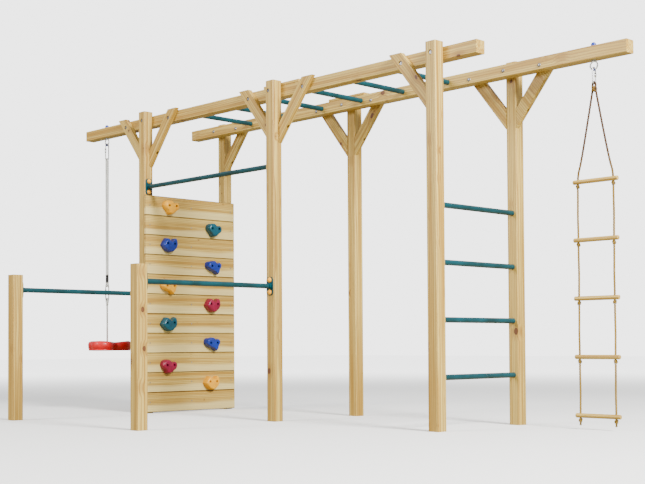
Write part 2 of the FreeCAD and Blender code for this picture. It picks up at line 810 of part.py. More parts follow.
def rounded_edges(points):
    """Straight runs through the points, joined by arcs as large as the runs beside them allow."""
    edges, start = [], points[0]
    for before, corner, after in zip(points, points[1:], points[2:]):
        into, out = (corner - before), (after - corner)
        half_turn = into.getAngle(out) / 2
        cut = 0.45 * min(into.Length, out.Length)
        radius = cut / math.tan(half_turn)
        print(f"rope bend radius {radius:.0f} mm")
        into, out = into.normalize(), out.normalize()
        begin, end = corner - into * cut, corner + out * cut
        inward = (out - into).normalize()
        middle = corner + inward * (radius / math.cos(half_turn) - radius)
        edges += [Part.LineSegment(start, begin).toShape(), Part.Arc(begin, middle, end).toShape()]
        start = end
    edges.append(Part.LineSegment(start, points[-1]).toShape())
    return edges


def hanging_loop(side_points, turn_point, diameter):
    """A tube up one side, round a half turn through turn_point and down the mirrored side."""
    mirrored = [Vector(-point.x, point.y, point.z) for point in reversed(side_points)]
    turn = Part.Arc(side_points[-1], turn_point, mirrored[0]).toShape()
    return tube_along(Part.Wire(rounded_edges(side_points) + [turn] + rounded_edges(mirrored)), diameter)


def make_knot(diameter, middle):
    """A ball for a knot, with its poles to the sides, clear of the rope through it."""
    return Part.makeSphere(diameter / 2, middle, Vector(0, 1, 0))


def make_link(top_z, length, wire, radius, middle):
    """A stadium-shaped link of round wire in the plane of Y and Z, hanging down from top_z."""
    upper, lower = top_z - radius, top_z - length + radius
    left, right = -radius, radius
    corners = [Vector(0, right, lower), Vector(0, right, upper), Vector(0, left, upper), Vector(0, left, lower)]
    edges = [
        Part.LineSegment(corners[0], corners[1]).toShape(),
        Part.Arc(corners[1], Vector(0, 0, top_z), corners[2]).toShape(),
        Part.LineSegment(corners[2], corners[3]).toShape(),
        Part.Arc(corners[3], Vector(0, 0, top_z - length), corners[0]).toShape(),
    ]
    halves = []
    for pair in (edges[:2], edges[2:]):
        halves.append(tube_along(Part.Wire(pair), wire))
    link = halves[0].fuse(halves[1]).removeSplitter()
    link.translate(Vector(middle.x, middle.y, 0))
    return link


def carabiner_top():
    """Height of the middle of a carabiner's top wire, resting in its eye."""
    return eye_foot_z + size("bush_diameter") / 2 + size("link_clearance") + size("carabiner_wire") / 2


def build_carabiners():
    for place_name in ("swing", "ladder"):
        middle = Vector(eye_x[place_name], eye_y[place_name], 0)
        link = make_link(carabiner_top(), size(f"{place_name}_carabiner_length"), size("carabiner_wire"),
                         size("carabiner_radius"), middle)
        keep(f"{place_name}_carabiner", group(f"{place_name}_carabiner", [link]))


def build_swing():
    middle = Vector(eye_x["swing"], eye_y["swing"], 0)
    rope = size("swing_rope")
    top_z = carabiner_top() - size("swing_carabiner_length")
    saddle = size("carabiner_wire") / 2 + size("saddle_clearance") + rope / 2
    strand = size("sleeve_strand_gap") / 2
    sleeve_top = size("sleeve_top")
    sleeve_bottom = sleeve_top - size("sleeve_length")
    hook_z = size("hook_top")
    # the looped upper rope: both strands, over the carabiner and round the hook
    joint_z = sleeve_top - size("sleeve_length") / 2
    crown = hanging_loop([Vector(-strand, 0, joint_z), Vector(-strand, 0, sleeve_top + 30), Vector(-saddle, 0, top_z - 60),
                          Vector(-saddle, 0, top_z)], Vector(0, 0, top_z + saddle), rope)
    heel = hanging_loop([Vector(-strand, 0, joint_z), Vector(-strand, 0, sleeve_bottom - 3),
                         Vector(-saddle, 0, hook_z + 6), Vector(-saddle, 0, hook_z)],
                        Vector(0, 0, hook_z - saddle), rope)
    upper = crown.fuse(heel).removeSplitter()
    upper.translate(middle)
    keep("swing_upper_rope", group("swing_upper_rope", [upper]))
    # crimped sleeve round both strands
    body = Part.makeBox(size("sleeve_width"), size("sleeve_depth"), size("sleeve_length"),
                        Vector(-size("sleeve_width") / 2, -size("sleeve_depth") / 2, sleeve_bottom))
    upright = [edge for edge in body.Edges if abs(edge.tangentAt(edge.FirstParameter).z) > 0.9]
    body = body.makeFillet(size("sleeve_depth") / 2 - 0.5, upright)
    body.translate(middle)
    keep("swing_sleeve", group("swing_sleeve", [body.cut(upper)]))
    hook = make_link(hook_z, size("hook_length"), size("hook_wire"), size("hook_radius"), middle)
    keep("swing_hook", group("swing_hook", [hook]))
    # lower rope: an eye round the hook, a straight drop through the seat and a knot under it
    low_z = hook_z - size("hook_length")
    seat_bottom = size("seat_top") - size("seat_thickness")
    knot_z = seat_bottom + size("seat_hub_rise") - size("seat_knot") / 2 - size("knot_clearance")
    eye = Part.makeTorus(saddle, rope / 2, Vector(0, 0, low_z), Vector(0, 1, 0))
    drop = straight_tube(Vector(0, 0, knot_z), Vector(0, 0, low_z - saddle), rope)
    knot = Part.makeSphere(size("seat_knot") / 2, Vector(0, 0, knot_z))
    lower = eye.fuse([drop, knot]).removeSplitter()
    lower.translate(middle)
    keep("swing_lower_rope", group("swing_lower_rope", [lower]))
    keep("swing_seat", group("swing_seat", [make_seat(middle)]))


def straight_tube(start, end, diameter):
    along = end - start
    return cylinder(diameter, along.Length, start, along)


def make_lobes(bottom, height, inset, round_over):
    """Three-lobed block on bottom, drawn in all round by inset, with its upper rim rounded."""
    reach, radius = size("seat_lobe_reach"), size("seat_lobe_radius") - inset
    solid = cylinder(2 * (reach - inset), height, Vector(0, 0, bottom))
    for i in range(3):
        turn = math.radians(size("seat_turn") + i * 120)
        lobe = Vector(reach * math.cos(turn), reach * math.sin(turn), bottom)
        solid = solid.fuse(cylinder(2 * radius, height, lobe))
    solid = solid.removeSplitter()
    rim = [edge for edge in solid.Edges if edge.BoundBox.ZMin > bottom + height - 0.01]
    return solid.makeFillet(round_over, rim)


def make_seat(middle):
    """Moulded disc seat: a shell open below, with a short hub that the rope goes through and its knot under the hub."""
    bottom = size("seat_top") - size("seat_thickness")
    wall = size("seat_wall")
    outer = make_lobes(bottom, size("seat_thickness"), 0, size("seat_round"))
    inner = make_lobes(bottom, size("seat_thickness") - wall, wall, size("seat_round") - wall)
    rise = size("seat_hub_rise")
    hub = cylinder(size("seat_hub"), size("seat_thickness") - wall - rise, Vector(0, 0, bottom + rise))
    seat = outer.cut(inner.cut(hub))
    seat = seat.cut(cylinder(size("seat_bore"), size("seat_thickness"), Vector(0, 0, bottom)))
    seat.translate(middle)
    return seat


def rope_rung_height(number):
    """Height of a rope ladder rung, counted from 1 at the top."""
    return size("rope_ladder_top_rung") - (number - 1) * size("rope_ladder_pitch")


def knot_height(number):
    """Height of the middle of the knots under a rope ladder rung."""
    return rope_rung_height(number) - (size("ladder_rung_thickness") + size("knot")) / 2 - size("knot_clearance")


def build_rope_ladder():
    middle = Vector(eye_x["ladder"], eye_y["ladder"], 0)
    rope = size("ladder_rope")
    half = size("ladder_rope_spacing") / 2
    # turned wooden rungs with a hole near each end
    for number in range(1, ROPE_LADDER_RUNG_COUNT + 1):
        z = rope_rung_height(number)
        length, thick = size("ladder_rung_length"), size("ladder_rung_thickness")
        rung = cylinder(thick, length, Vector(-length / 2, 0, z), Vector(1, 0, 0))
        ends = [edge for edge in rung.Edges if edge.BoundBox.XLength < 0.01]
        rung = rung.makeFillet(4, ends)
        for side in (-1, 1):
            rung = rung.cut(cylinder(size("rope_hole"), 2 * thick, Vector(side * half, 0, z - thick)))
        rung.translate(middle)
        keep(f"rope_ladder_rung_{number}", group(f"rope_ladder_rung_{number}", [rung]))
    # top rope: one rope from knot to knot, over the carabiner, gathered in a knot below it
    crown_z = carabiner_top() - size("ladder_carabiner_length")
    saddle = size("carabiner_wire") / 2 + size("saddle_clearance") + rope / 2
    gather_z = crown_z - size("top_knot_below")
    side = [Vector(-half, 0, knot_height(1)), Vector(-half, 0, rope_rung_height(1) + size("ladder_rung_thickness")),
            Vector(-saddle, 0, gather_z), Vector(-saddle, 0, crown_z)]
    top_rope = hanging_loop(side, Vector(0, 0, crown_z + saddle), rope)
    knots = [make_knot(size("top_knot"), Vector(0, 0, gather_z))]
    knots += [make_knot(size("knot"), Vector(way * half, 0, knot_height(1))) for way in (-1, 1)]
    top_rope = top_rope.fuse(knots)
    top_rope.translate(middle)
    keep("rope_ladder_top_rope", group("rope_ladder_top_rope", [top_rope]))
    # lengths of rope between the rungs, each with its knot under the lower rung
    for number in range(2, ROPE_LADDER_RUNG_COUNT + 1):
        for side, word in ((-1, "left"), (1, "right")):
            start_z = knot_height(number - 1) - size("knot") / 2 - size("knot_clearance")
            end = Vector(side * half, 0, knot_height(number))
            if number == ROPE_LADDER_RUNG_COUNT:
                bottom = end - Vector(0, 0, size("knot") / 2 + size("rope_tail"))
            else:
                bottom = end
            piece = straight_tube(bottom, Vector(side * half, 0, start_z), rope)
            piece = piece.fuse(make_knot(size("knot"), end)).removeSplitter()
            piece.translate(middle)
            name = f"rope_ladder_rope_{word}_{number}"
            keep(name, group(name, [piece]))


def check_document():
    doc.recompute()
    for thing in doc.Objects:
        wrong = [state for state in thing.State if state in ("Invalid", "Error")]
        if wrong:
            raise RuntimeError(f"{thing.Name}: {wrong}")
    for name, thing in nodes.items():
        if thing.Shape.isNull() or not thing.Shape.isValid() or not thing.Shape.Solids:
            raise RuntimeError(f"{name}: shape is null, not valid or holds no solid")


plan_frame_fasteners()
plan_wall_fasteners()
plan_splice_screws()
plan_bar_screws()
plan_eye_holes()
plan_rung_sockets()
build_posts()
build_beams()
build_splice_plates()
build_braces()
build_rungs()
build_bars()
build_wall_boards()
build_batten()
build_holds()
build_eye_bolts()
build_carabiners()
build_swing()
build_rope_ladder()
keep("frame_bolts", group("frame_bolts", bolt_solids))
keep("wood_screws", group("wood_screws", screw_solids))
check_document()

os.makedirs("parts", exist_ok=True)
for name, thing in nodes.items():
    thing.Shape.exportStep(f"parts/{name}.step")
    print(f"{name}: {len(thing.Shape.Solids)} solids, {thing.Shape.Volume / 1000:.1f} cm3")
print(f"{len(nodes)} nodes")
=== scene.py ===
"""Looks for a set of wooden monkey bars: pine, painted tube, moulded plastic, zinc-plated fittings and twisted rope.

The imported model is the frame. Its timber, tube and fittings are dressed where they are, and the ropes, knots, snap
links, climbing holds and disc seat are modelled here around it. Everything is in metres, in the frame of the model:
+X runs along the beams to the rope ladder, +Y from the front row of posts to the back row, and +Z is up.
"""

import json
import logging
import math
from dataclasses import dataclass, field
from enum import Enum
from typing import Iterable, Optional, Sequence, Union

import bmesh
import bpy
from mathutils import Matrix, Vector


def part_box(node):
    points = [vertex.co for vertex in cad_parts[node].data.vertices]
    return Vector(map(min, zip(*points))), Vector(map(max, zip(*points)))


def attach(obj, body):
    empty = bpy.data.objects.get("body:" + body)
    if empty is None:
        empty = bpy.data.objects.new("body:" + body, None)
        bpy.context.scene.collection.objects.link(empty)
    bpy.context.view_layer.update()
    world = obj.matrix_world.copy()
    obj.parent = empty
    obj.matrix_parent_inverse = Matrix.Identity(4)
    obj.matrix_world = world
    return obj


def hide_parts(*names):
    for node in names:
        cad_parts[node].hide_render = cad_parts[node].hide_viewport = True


logging.basicConfig(level=logging.INFO, format="%(levelname)s %(message)s")
log = logging.getLogger("monkey_bars")

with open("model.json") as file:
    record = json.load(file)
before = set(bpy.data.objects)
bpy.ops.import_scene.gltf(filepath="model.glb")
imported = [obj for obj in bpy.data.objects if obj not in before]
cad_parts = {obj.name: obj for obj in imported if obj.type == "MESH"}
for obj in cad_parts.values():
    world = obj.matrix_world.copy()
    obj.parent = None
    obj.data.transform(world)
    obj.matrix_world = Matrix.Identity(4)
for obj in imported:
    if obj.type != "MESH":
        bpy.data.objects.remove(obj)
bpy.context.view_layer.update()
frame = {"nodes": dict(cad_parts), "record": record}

Colour = tuple[float, float, float]
Number = Union[float, "Flow"]

# three strands make a rope: shares of its diameter
STRAND_OFFSET = 0.235
STRAND_RADIUS = 0.262
STRAND_LAY = 3.4
ROUTE_STEP = 0.34
GOLDEN_ANGLE = 2.399963
LYING = Matrix.Rotation(math.pi / 2, 3, "Y")


# ---- shader maths ----------------------------------------------------------------------------------------------


class Flow:
    """A number, a vector or a colour on its way through the nodes of a material."""

    def __init__(self, graph: "Graph", socket: bpy.types.NodeSocket) -> None:
        """Keeps the output socket and the graph that it is in.

        Args:
            graph: the material graph that new nodes are added to.
            socket: the output socket that carries the value.
        """
        self.graph = graph
        self.socket = socket

    def _math(self, operation: str, first: Number, second: Number = 0.0) -> "Flow":
        """Adds one Math node and returns what comes out of it."""
        return self.graph.node("ShaderNodeMath", {"operation": operation}, {0: first, 1: second})

    def __add__(self, other: Number) -> "Flow":
        """Adds a number."""
        return self._math("ADD", self, other)

    def __radd__(self, other: Number) -> "Flow":
        """Adds a number that stands on the left."""
        return self._math("ADD", other, self)

    def __sub__(self, other: Number) -> "Flow":
        """Takes a number away."""
        return self._math("SUBTRACT", self, other)

    def __rsub__(self, other: Number) -> "Flow":
        """Takes this away from a number."""
        return self._math("SUBTRACT", other, self)

    def __mul__(self, other: Number) -> "Flow":
        """Multiplies by a number."""
        return self._math("MULTIPLY", self, other)

    def __rmul__(self, other: Number) -> "Flow":
        """Multiplies a number that stands on the left."""
        return self._math("MULTIPLY", other, self)

    def __truediv__(self, other: Number) -> "Flow":
        """Divides by a number."""
        return self._math("DIVIDE", self, other)

    def __rtruediv__(self, other: Number) -> "Flow":
        """Divides a number by this."""
        return self._math("DIVIDE", other, self)

    def __abs__(self) -> "Flow":
        """Drops the sign."""
        return self._math("ABSOLUTE", self)

    def fraction(self) -> "Flow":
        """The part after the decimal point."""
        return self._math("FRACT", self)

    def whole(self) -> "Flow":
        """The whole part, rounded down."""
        return self._math("FLOOR", self)

    def sine(self) -> "Flow":
        """The sine of an angle in radians."""
        return self._math("SINE", self)

    def rise(self, low: Number, high: Number) -> "Flow":
        """A soft step from 0 at low to 1 at high.

        Args:
            low: where the step starts.
            high: where the step ends.

        Returns:
            the step, from 0 to 1.
        """
        settings = {"interpolation_type": "SMOOTHSTEP"}
        sockets = {"Value": self, "From Min": low, "From Max": high}
        return self.graph.node("ShaderNodeMapRange", settings, sockets)


class Graph:
    """The nodes of one material, with a Principled shader at the end."""

    def __init__(self, name: str) -> None:
        """Makes an empty material.

        Args:
            name: the name of the material.
        """
        self.material = bpy.data.materials.new(name)
        self.material.use_nodes = True
        self.tree = self.material.node_tree
        self.shader = next(n for n in self.tree.nodes if n.type == "BSDF_PRINCIPLED")

    def node(self, kind: str, settings: Optional[dict] = None, sockets: Optional[dict] = None,
             output: Union[int, str] = 0) -> Flow:
        """Adds a node: its settings first, then the values or links of its sockets.

        Args:
            kind: the node's type.
            settings: its properties.
            sockets: its inputs by name or number, each a constant or a Flow.
            output: the output to pass on.

        Returns:
            the chosen output.
        """
        made = self.tree.nodes.new(kind)
        for key, value in (settings or {}).items():
            setattr(made, key, value)
        for key, value in (sockets or {}).items():
            if isinstance(value, Flow):
                self.tree.links.new(value.socket, made.inputs[key])
            else:
                made.inputs[key].default_value = value
        return Flow(self, made.outputs[output])

    def vector(self, operation: str, first: Union[Flow, Sequence[float]], second: Union[Flow, Sequence[float]],
               output: Union[int, str] = 0) -> Flow:
        """Adds a Vector Math node on two vectors."""
        return self.node("ShaderNodeVectorMath", {"operation": operation}, {0: first, 1: second}, output)

    def length(self, vector: Flow) -> Flow:
        """The length of a vector."""
        return self.node("ShaderNodeVectorMath", {"operation": "LENGTH"}, {0: vector}, "Value")

    def place(self) -> Flow:
        """The point on the piece, in the frame of the model."""
        return self.node("ShaderNodeTexCoord", output="Object")

    def split(self, vector: Flow) -> tuple[Flow, Flow, Flow]:
        """The three parts of a vector.

        Args:
            vector: the vector.

        Returns:
            its x, y and z.
        """
        parts = self.node("ShaderNodeSeparateXYZ", None, {0: vector})
        outputs = parts.socket.node.outputs
        return Flow(self, outputs[0]), Flow(self, outputs[1]), Flow(self, outputs[2])

    def join(self, x: Number, y: Number, z: Number) -> Flow:
        """A vector from its three parts."""
        return self.node("ShaderNodeCombineXYZ", None, {0: x, 1: y, 2: z})

    def noise(self, vector: Flow, stretch: Sequence[float], detail: float = 2.0, roughness: float = 0.5) -> Flow:
        """Noise whose grain size differs along the three directions.

        Args:
            vector: where the noise is read.
            stretch: how often it changes along x, y and z, per metre.
            detail: how many finer layers it has.
            roughness: how strong the finer layers are.

        Returns:
            the noise, about 0.5.
        """
        stretched = self.vector("MULTIPLY", vector, stretch)
        sockets = {"Vector": stretched, "Scale": 1.0, "Detail": detail, "Roughness": roughness}
        return self.node("ShaderNodeTexNoise", None, sockets)

    def blend(self, factor: Number, first: Union[Flow, Colour], second: Union[Flow, Colour]) -> Flow:
        """Mixes two colours: first where factor is 0 and second where it is 1."""
        first, second = (c if isinstance(c, Flow) else (*c, 1.0) for c in (first, second))
        return self.node("ShaderNodeMix", {"data_type": "RGBA"}, {0: factor, 6: first, 7: second}, 2)

    def tint(self, colour: Flow, amount: Number, shade: Colour) -> Flow:
        """Multiplies a colour by a shade, as far as amount says."""
        settings = {"data_type": "RGBA", "blend_type": "MULTIPLY"}
        return self.node("ShaderNodeMix", settings, {0: amount, 6: colour, 7: (*shade, 1.0)}, 2)

    def bump(self, height: Flow, distance: float, strength: float = 1.0) -> Flow:
        """A Bump node for the shader's Normal."""
        return self.node("ShaderNodeBump", None, {"Height": height, "Distance": distance, "Strength": strength})

    def finish(self, **sockets: Union[Flow, float, Sequence[float]]) -> bpy.types.Material:
        """Sets the shader's sockets and returns the material.

        Args:
            **sockets: the shader's inputs, with _ for each space in their names.

        Returns:
            the finished material.
        """
        for key, value in sockets.items():
            target = self.shader.inputs[key.replace("_", " ")]
            if isinstance(value, Flow):
                self.tree.links.new(value.socket, target)
            else:
                target.default_value = value
        return self.material


def linear(red: int, green: int, blue: int) -> Colour:
    """A paint-chart colour, 0 to 255, as linear light.

    Args:
        red: its red.
        green: its green.
        blue: its blue.

    Returns:
        the colour.
    """
    shares = [value / 255 for value in (red, green, blue)]
    return tuple(s / 12.92 if s <= 0.04045 else ((s + 0.055) / 1.055) ** 2.4 for s in shares)


# ---- finishes --------------------------------------------------------------------------------------------------


class Grain(Enum):
    """The way the grain runs in a timber, as the turn that brings it upright."""

    UPRIGHT = (0.0, 0.0, 0.0)
    ALONG_BEAM = (0.0, -math.pi / 2, 0.0)
    ACROSS = (math.pi / 2, 0.0, 0.0)
    LEAN_RIGHT = (0.0, -math.radians(39.7), 0.0)
    LEAN_LEFT = (0.0, math.radians(39.7), 0.0)


@dataclass(frozen=True)
class Pine:
    """Planed pine with growth rings, fibres, knots and drying checks, the same all through the piece."""

    pale: Colour = linear(208, 180, 96)
    honey: Colour = linear(170, 132, 48)
    latewood: Colour = linear(136, 92, 24)
    sapwood: Colour = linear(226, 208, 142)
    knot: Colour = linear(96, 50, 18)
    knot_rim: Colour = linear(66, 34, 12)
    ring_pitch: float = 0.011
    knot_pitch: float = 0.21
    knot_size: float = 0.015
    knot_cell: float = 0.09
    checks: float = 0.35
    check_colour: Colour = (0.16, 0.11, 0.07)
    roughness: float = 0.46
    board_pitch: float = 0.0
    board_foot: float = 0.006
    seam: Colour = (0.20, 0.15, 0.06)

    def dress(self, name: str, centre: Sequence[float], grain: Grain, seed: int) -> bpy.types.Material:
        """Makes the pine of one piece.

        Args:
            name: the name of the material.
            centre: the middle of the piece.
            grain: the way that its grain runs.
            seed: picks where in the log the piece was cut.

        Returns:
            the material.
        """
        g = Graph(name)
        here = g.vector("SUBTRACT", g.place(), tuple(centre))
        if self.board_pitch:
            board = ((g.split(g.place())[2] - self.board_foot) / self.board_pitch).whole()
            here = g.vector("ADD", here, g.join(0.0, board * 3.17, board * 0.713))
        turned = g.node("ShaderNodeMapping", {"vector_type": "POINT"}, {"Vector": here, "Rotation": grain.value})
        cut = g.vector("ADD", turned, (0.35 * math.sin(seed * 2.4), 0.35 * math.cos(seed * 2.4), seed * 1.37))
        inner = g.vector("ADD", turned, (0.045 + 0.02 * math.sin(seed), 0.06 + 0.02 * math.cos(seed * 1.7), 0.0))
        # knots: one to a cell, of differing size, or none
        cells = (1 / self.knot_cell, 1 / self.knot_cell, 1 / self.knot_pitch)
        stretched = g.vector("MULTIPLY", cut, cells)
        voronoi = g.node("ShaderNodeTexVoronoi", {"feature": "F1"}, {"Vector": stretched, "Scale": 1.0}, "Position")
        chance = g.split(Flow(g, voronoi.socket.node.outputs["Color"]))[0]
        offset = g.vector("DIVIDE", g.vector("SUBTRACT", stretched, voronoi), cells)
        away = g.length(g.vector("MULTIPLY", offset, (1.0, 1.0, 0.72)))
        size = self.knot_size * chance.rise(0.15, 1.0) + 0.0005
        wavy = away + (g.noise(cut, (90, 90, 90)) - 0.5) * 0.006
        knot = 1 - wavy.rise(size * 0.8, size)
        rim = knot * wavy.rise(size * 0.45, size * 0.95)
        halo = 1 - wavy.rise(size, size * 3.2)
        # growth rings round the pith, bent round the knots
        bend = (g.noise(cut, (7, 7, 1.1), 3.0) - 0.5) * 0.03 + halo * 0.009
        x, y, _ = g.split(inner)
        radius = g.length(g.join(x, y, 0.0)) + bend
        ring = (radius / self.ring_pitch).fraction()
        late = ring.rise(0.35, 0.9) * (1 - ring.rise(0.93, 1.0))
        fibre = g.noise(cut, (520, 520, 9), 3.0, 0.6)
        streak = g.noise(cut, (44, 44, 0.8), 4.0, 0.62)
        cloud = g.noise(cut, (6, 6, 1.6), 2.0)
        line = 1 - abs(g.noise(cut, (55, 55, 1.3), 2.0) - 0.5).rise(0.0, 0.009)
        crack = line * cloud.rise(0.58 - 0.2 * self.checks, 0.66) * self.checks
        colour = g.blend(streak.rise(0.36, 0.66), self.pale, self.honey)
        colour = g.blend(late * 0.62, colour, self.latewood)
        colour = g.blend(fibre.rise(0.35, 0.75) * 0.22, colour, self.latewood)
        colour = g.blend(halo * 0.45, colour, self.latewood)
        colour = g.blend(knot * 0.95, colour, self.knot)
        colour = g.blend(rim * 0.7, colour, self.knot_rim)
        colour = g.tint(colour, crack, self.check_colour)
        if self.board_pitch:
            board = (g.split(g.place())[2] - self.board_foot) / self.board_pitch
            joint = abs(board - (board + 0.5).whole()) * self.board_pitch
            colour = g.tint(colour, 1 - joint.rise(0.0015, 0.0045), self.seam)
            band = (board.fraction() + (cloud - 0.5) * 0.5).rise(0.28, 0.46)
            colour = g.blend((1 - band) * joint.rise(0.002, 0.005) * 0.62, colour, self.sapwood)
        height = fibre * 0.25 + late * 0.35 - crack * 2.2 - rim * 0.5
        rough = self.roughness + fibre * 0.16 - late * 0.06 + crack * 0.3
        return g.finish(Base_Color=colour, Roughness=rough, Normal=g.bump(height, 0.0006, 0.8), Coat_Weight=0.12,
                        Coat_Roughness=0.35, Specular_IOR_Level=0.45)


@dataclass(frozen=True)
class Paint:
    """Glossy powder coat on steel: a little orange peel, pale scuffs and dulled patches."""

    body: Colour
    deep: Colour
    roughness: float = 0.24

    def dress(self, name: str) -> bpy.types.Material:
        """Makes the paint.

        Args:
            name: the name of the material.

        Returns:
            the material.
        """
        g = Graph(name)
        here = g.place()
        patch = g.noise(here, (9, 9, 9), 4.0)
        peel = g.noise(here, (420, 420, 420), 1.0)
        scuff = g.noise(here, (60, 60, 240), 5.0, 0.65).rise(0.62, 0.75)
        colour = g.blend(patch.rise(0.3, 0.75), self.body, self.deep)
        colour = g.blend(scuff * 0.10, colour, (0.55, 0.62, 0.62))
        rough = self.roughness + patch * 0.12 + scuff * 0.22
        return g.finish(Base_Color=colour, Roughness=rough, Normal=g.bump(peel - scuff * 0.6, 0.00006, 0.5),
                        Coat_Weight=0.12, Coat_Roughness=0.12, Specular_IOR_Level=0.3)


@dataclass(frozen=True)
class Moulded:
    """Moulded plastic with a fine grained skin, flow marks and light scuffs."""

    body: Colour
    deep: Colour
    roughness: float = 0.28
    grain: float = 0.5

    def dress(self, name: str) -> bpy.types.Material:
        """Makes the plastic.

        Args:
            name: the name of the material.

        Returns:
            the material.
        """
        g = Graph(name)
        here = g.place()
        skin = g.noise(here, (900, 900, 900), 2.0)
        swirl = g.noise(here, (22, 22, 22), 4.0, 0.6)
        scuff = g.noise(here, (70, 160, 70), 6.0, 0.7).rise(0.6, 0.78)
        colour = g.blend(swirl.rise(0.35, 0.7), self.body, self.deep)
        colour = g.blend(scuff * 0.12, colour, (0.75, 0.75, 0.75))
        rough = self.roughness + swirl * 0.12 + scuff * 0.25
        normal = g.bump(skin * self.grain + swirl * 0.4, 0.00008, 0.5)
        return g.finish(Base_Color=colour, Roughness=rough, Normal=normal, Coat_Weight=0.1, Coat_Roughness=0.15,
                        Specular_IOR_Level=0.4)


@dataclass(frozen=True)
class Zinc:
    """Zinc-plated steel: small spangles, faint streaks and a dull bloom."""

    bright: Colour = (0.66, 0.67, 0.69)
    # the colour of the dull bloom; in the darker plating of the bolts it also carries painted shade
    dull_and_recess_shaded: Colour = (0.40, 0.41, 0.43)

    def dress(self, name: str) -> bpy.types.Material:
        """Makes the plating.

        Args:
            name: the name of the material.

        Returns:
            the material.
        """
        g = Graph(name)
        here = g.place()
        spangle = g.node("ShaderNodeTexVoronoi", {"feature": "F1"}, {"Vector": here, "Scale": 450.0}, "Color")
        flake = g.split(spangle)[0]
        bloom = g.noise(here, (60, 60, 60), 4.0, 0.6)
        scratch = g.noise(here, (900, 900, 40), 2.0)
        colour = g.blend(bloom.rise(0.3, 0.75) * 0.7 + flake * 0.3, self.bright, self.dull_and_recess_shaded)
        rough = 0.22 + bloom * 0.25 + flake * 0.08
        normal = g.bump(scratch + flake * 0.4, 0.0001, 0.5)
        return g.finish(Base_Color=colour, Metallic=0.95, Roughness=rough, Normal=normal)


@dataclass(frozen=True)
class Fibre:
    """Twisted rope yarn: the piece's own UV map gives the way along the strand and round it. The grooves between the
    yarns are darkened with painted shade.
    """

    light: Colour
    dark: Colour
    yarns: float = 5.0
    twist: float = 160.0
    fuzz: float = 0.25
    # the colour that the grooves between the yarns are tinted towards: painted shade
    groove_shade: Colour = (0.45, 0.42, 0.38)
    stain: Colour = (0.0, 0.0, 0.0)
    stain_from: float = 0.0
    stain_to: float = 0.0

    def dress(self, name: str) -> bpy.types.Material:
        """Makes the yarn.

        Args:
            name: the name of the material.

        Returns:
            the material.
        """
        g = Graph(name)
        here = g.place()
        along, around, _ = g.split(g.node("ShaderNodeUVMap", {"uv_map": "UVMap"}))
        yarn = ((around * self.yarns + along * self.twist) * (2 * math.pi)).sine() * 0.5 + 0.5
        hair = g.noise(here, (1400, 1400, 260), 3.0, 0.6)
        soil = g.noise(here, (24, 24, 5), 4.0)
        colour = g.blend(soil.rise(0.3, 0.75) * 0.55 + hair * 0.2, self.light, self.dark)
        if self.stain_to:
            stained = g.split(here)[2].rise(self.stain_from, self.stain_to)
            colour = g.blend(stained * 0.9, colour, self.stain)
        # painted shade: the colour darkens in the grooves between the yarns
        colour = g.tint(colour, (1 - yarn) * 0.45, self.groove_shade)
        normal = g.bump(yarn + hair * 0.35, 0.0006, 0.9)
        return g.finish(Base_Color=colour, Roughness=0.82 + hair * 0.12, Normal=normal, Sheen_Weight=self.fuzz,
                        Sheen_Roughness=0.5, Specular_IOR_Level=0.15)


TEAL = Paint(linear(0, 64, 74), linear(0, 44, 48), roughness=0.3)
YELLOW = Moulded(linear(236, 168, 0), linear(222, 150, 0), roughness=0.5)
GREEN = Moulded(linear(2, 80, 98), linear(0, 62, 82))
BLUE = Moulded(linear(16, 48, 148), linear(10, 36, 124))
MAGENTA = Moulded(linear(144, 2, 56), linear(118, 0, 44))
SEAT_RED = Moulded(linear(206, 0, 16), linear(180, 0, 10), roughness=0.42)
CLAMP_BLACK = Moulded(linear(26, 26, 28), linear(14, 14, 16), roughness=0.42, grain=1.0)
WHITE_ROPE = Fibre(linear(250, 250, 250), linear(226, 230, 232), groove_shade=(0.74, 0.77, 0.79))
TAN_ROPE = Fibre(linear(158, 128, 62), linear(122, 96, 40), fuzz=0.0, groove_shade=(0.6, 0.56, 0.46),
                 stain=linear(70, 50, 44), stain_from=1.2, stain_to=1.5)
BROWN_ROPE = Fibre(linear(140, 108, 52), linear(84, 60, 30), fuzz=0.0)
PLATED = Zinc()
# darker plating for the frame bolts and wood screws: painted shade that stands for the shade in the bolts' recesses
RECESS_SHADED_PLATED = Zinc((0.34, 0.34, 0.37), (0.16, 0.16, 0.18))


# ---- shared shaping --------------------------------------------------------------------------------------------


def keep(mesh: Union[bmesh.types.BMesh, bpy.types.Mesh], name: str, body: str,
         material: bpy.types.Material, replaces: Iterable[str] = ()) -> bpy.types.Object:
    """Turns a shape into a finished piece that rides on a body.

    Args:
        mesh: the shape, already in its place.
        name: the name of the piece.
        body: the body of the model that it moves with.
        material: its finish.
        replaces: the nodes of the model that it stands for.

    Returns:
        the new object.
    """
    if isinstance(mesh, bmesh.types.BMesh):
        shape = bpy.data.meshes.new(name)
        mesh.to_mesh(shape)
        mesh.free()
    else:
        shape = mesh
    shape.name = name
    for polygon in shape.polygons:
        polygon.use_smooth = True
    shape.materials.clear()
    shape.materials.append(material)
    thing = bpy.data.objects.new(name, shape)
    bpy.context.scene.collection.objects.link(thing)
    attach(thing, body)
    if replaces:
        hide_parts(*replaces)
    log.info("%s: %d faces on %s", name, len(shape.polygons), body)
    return thing


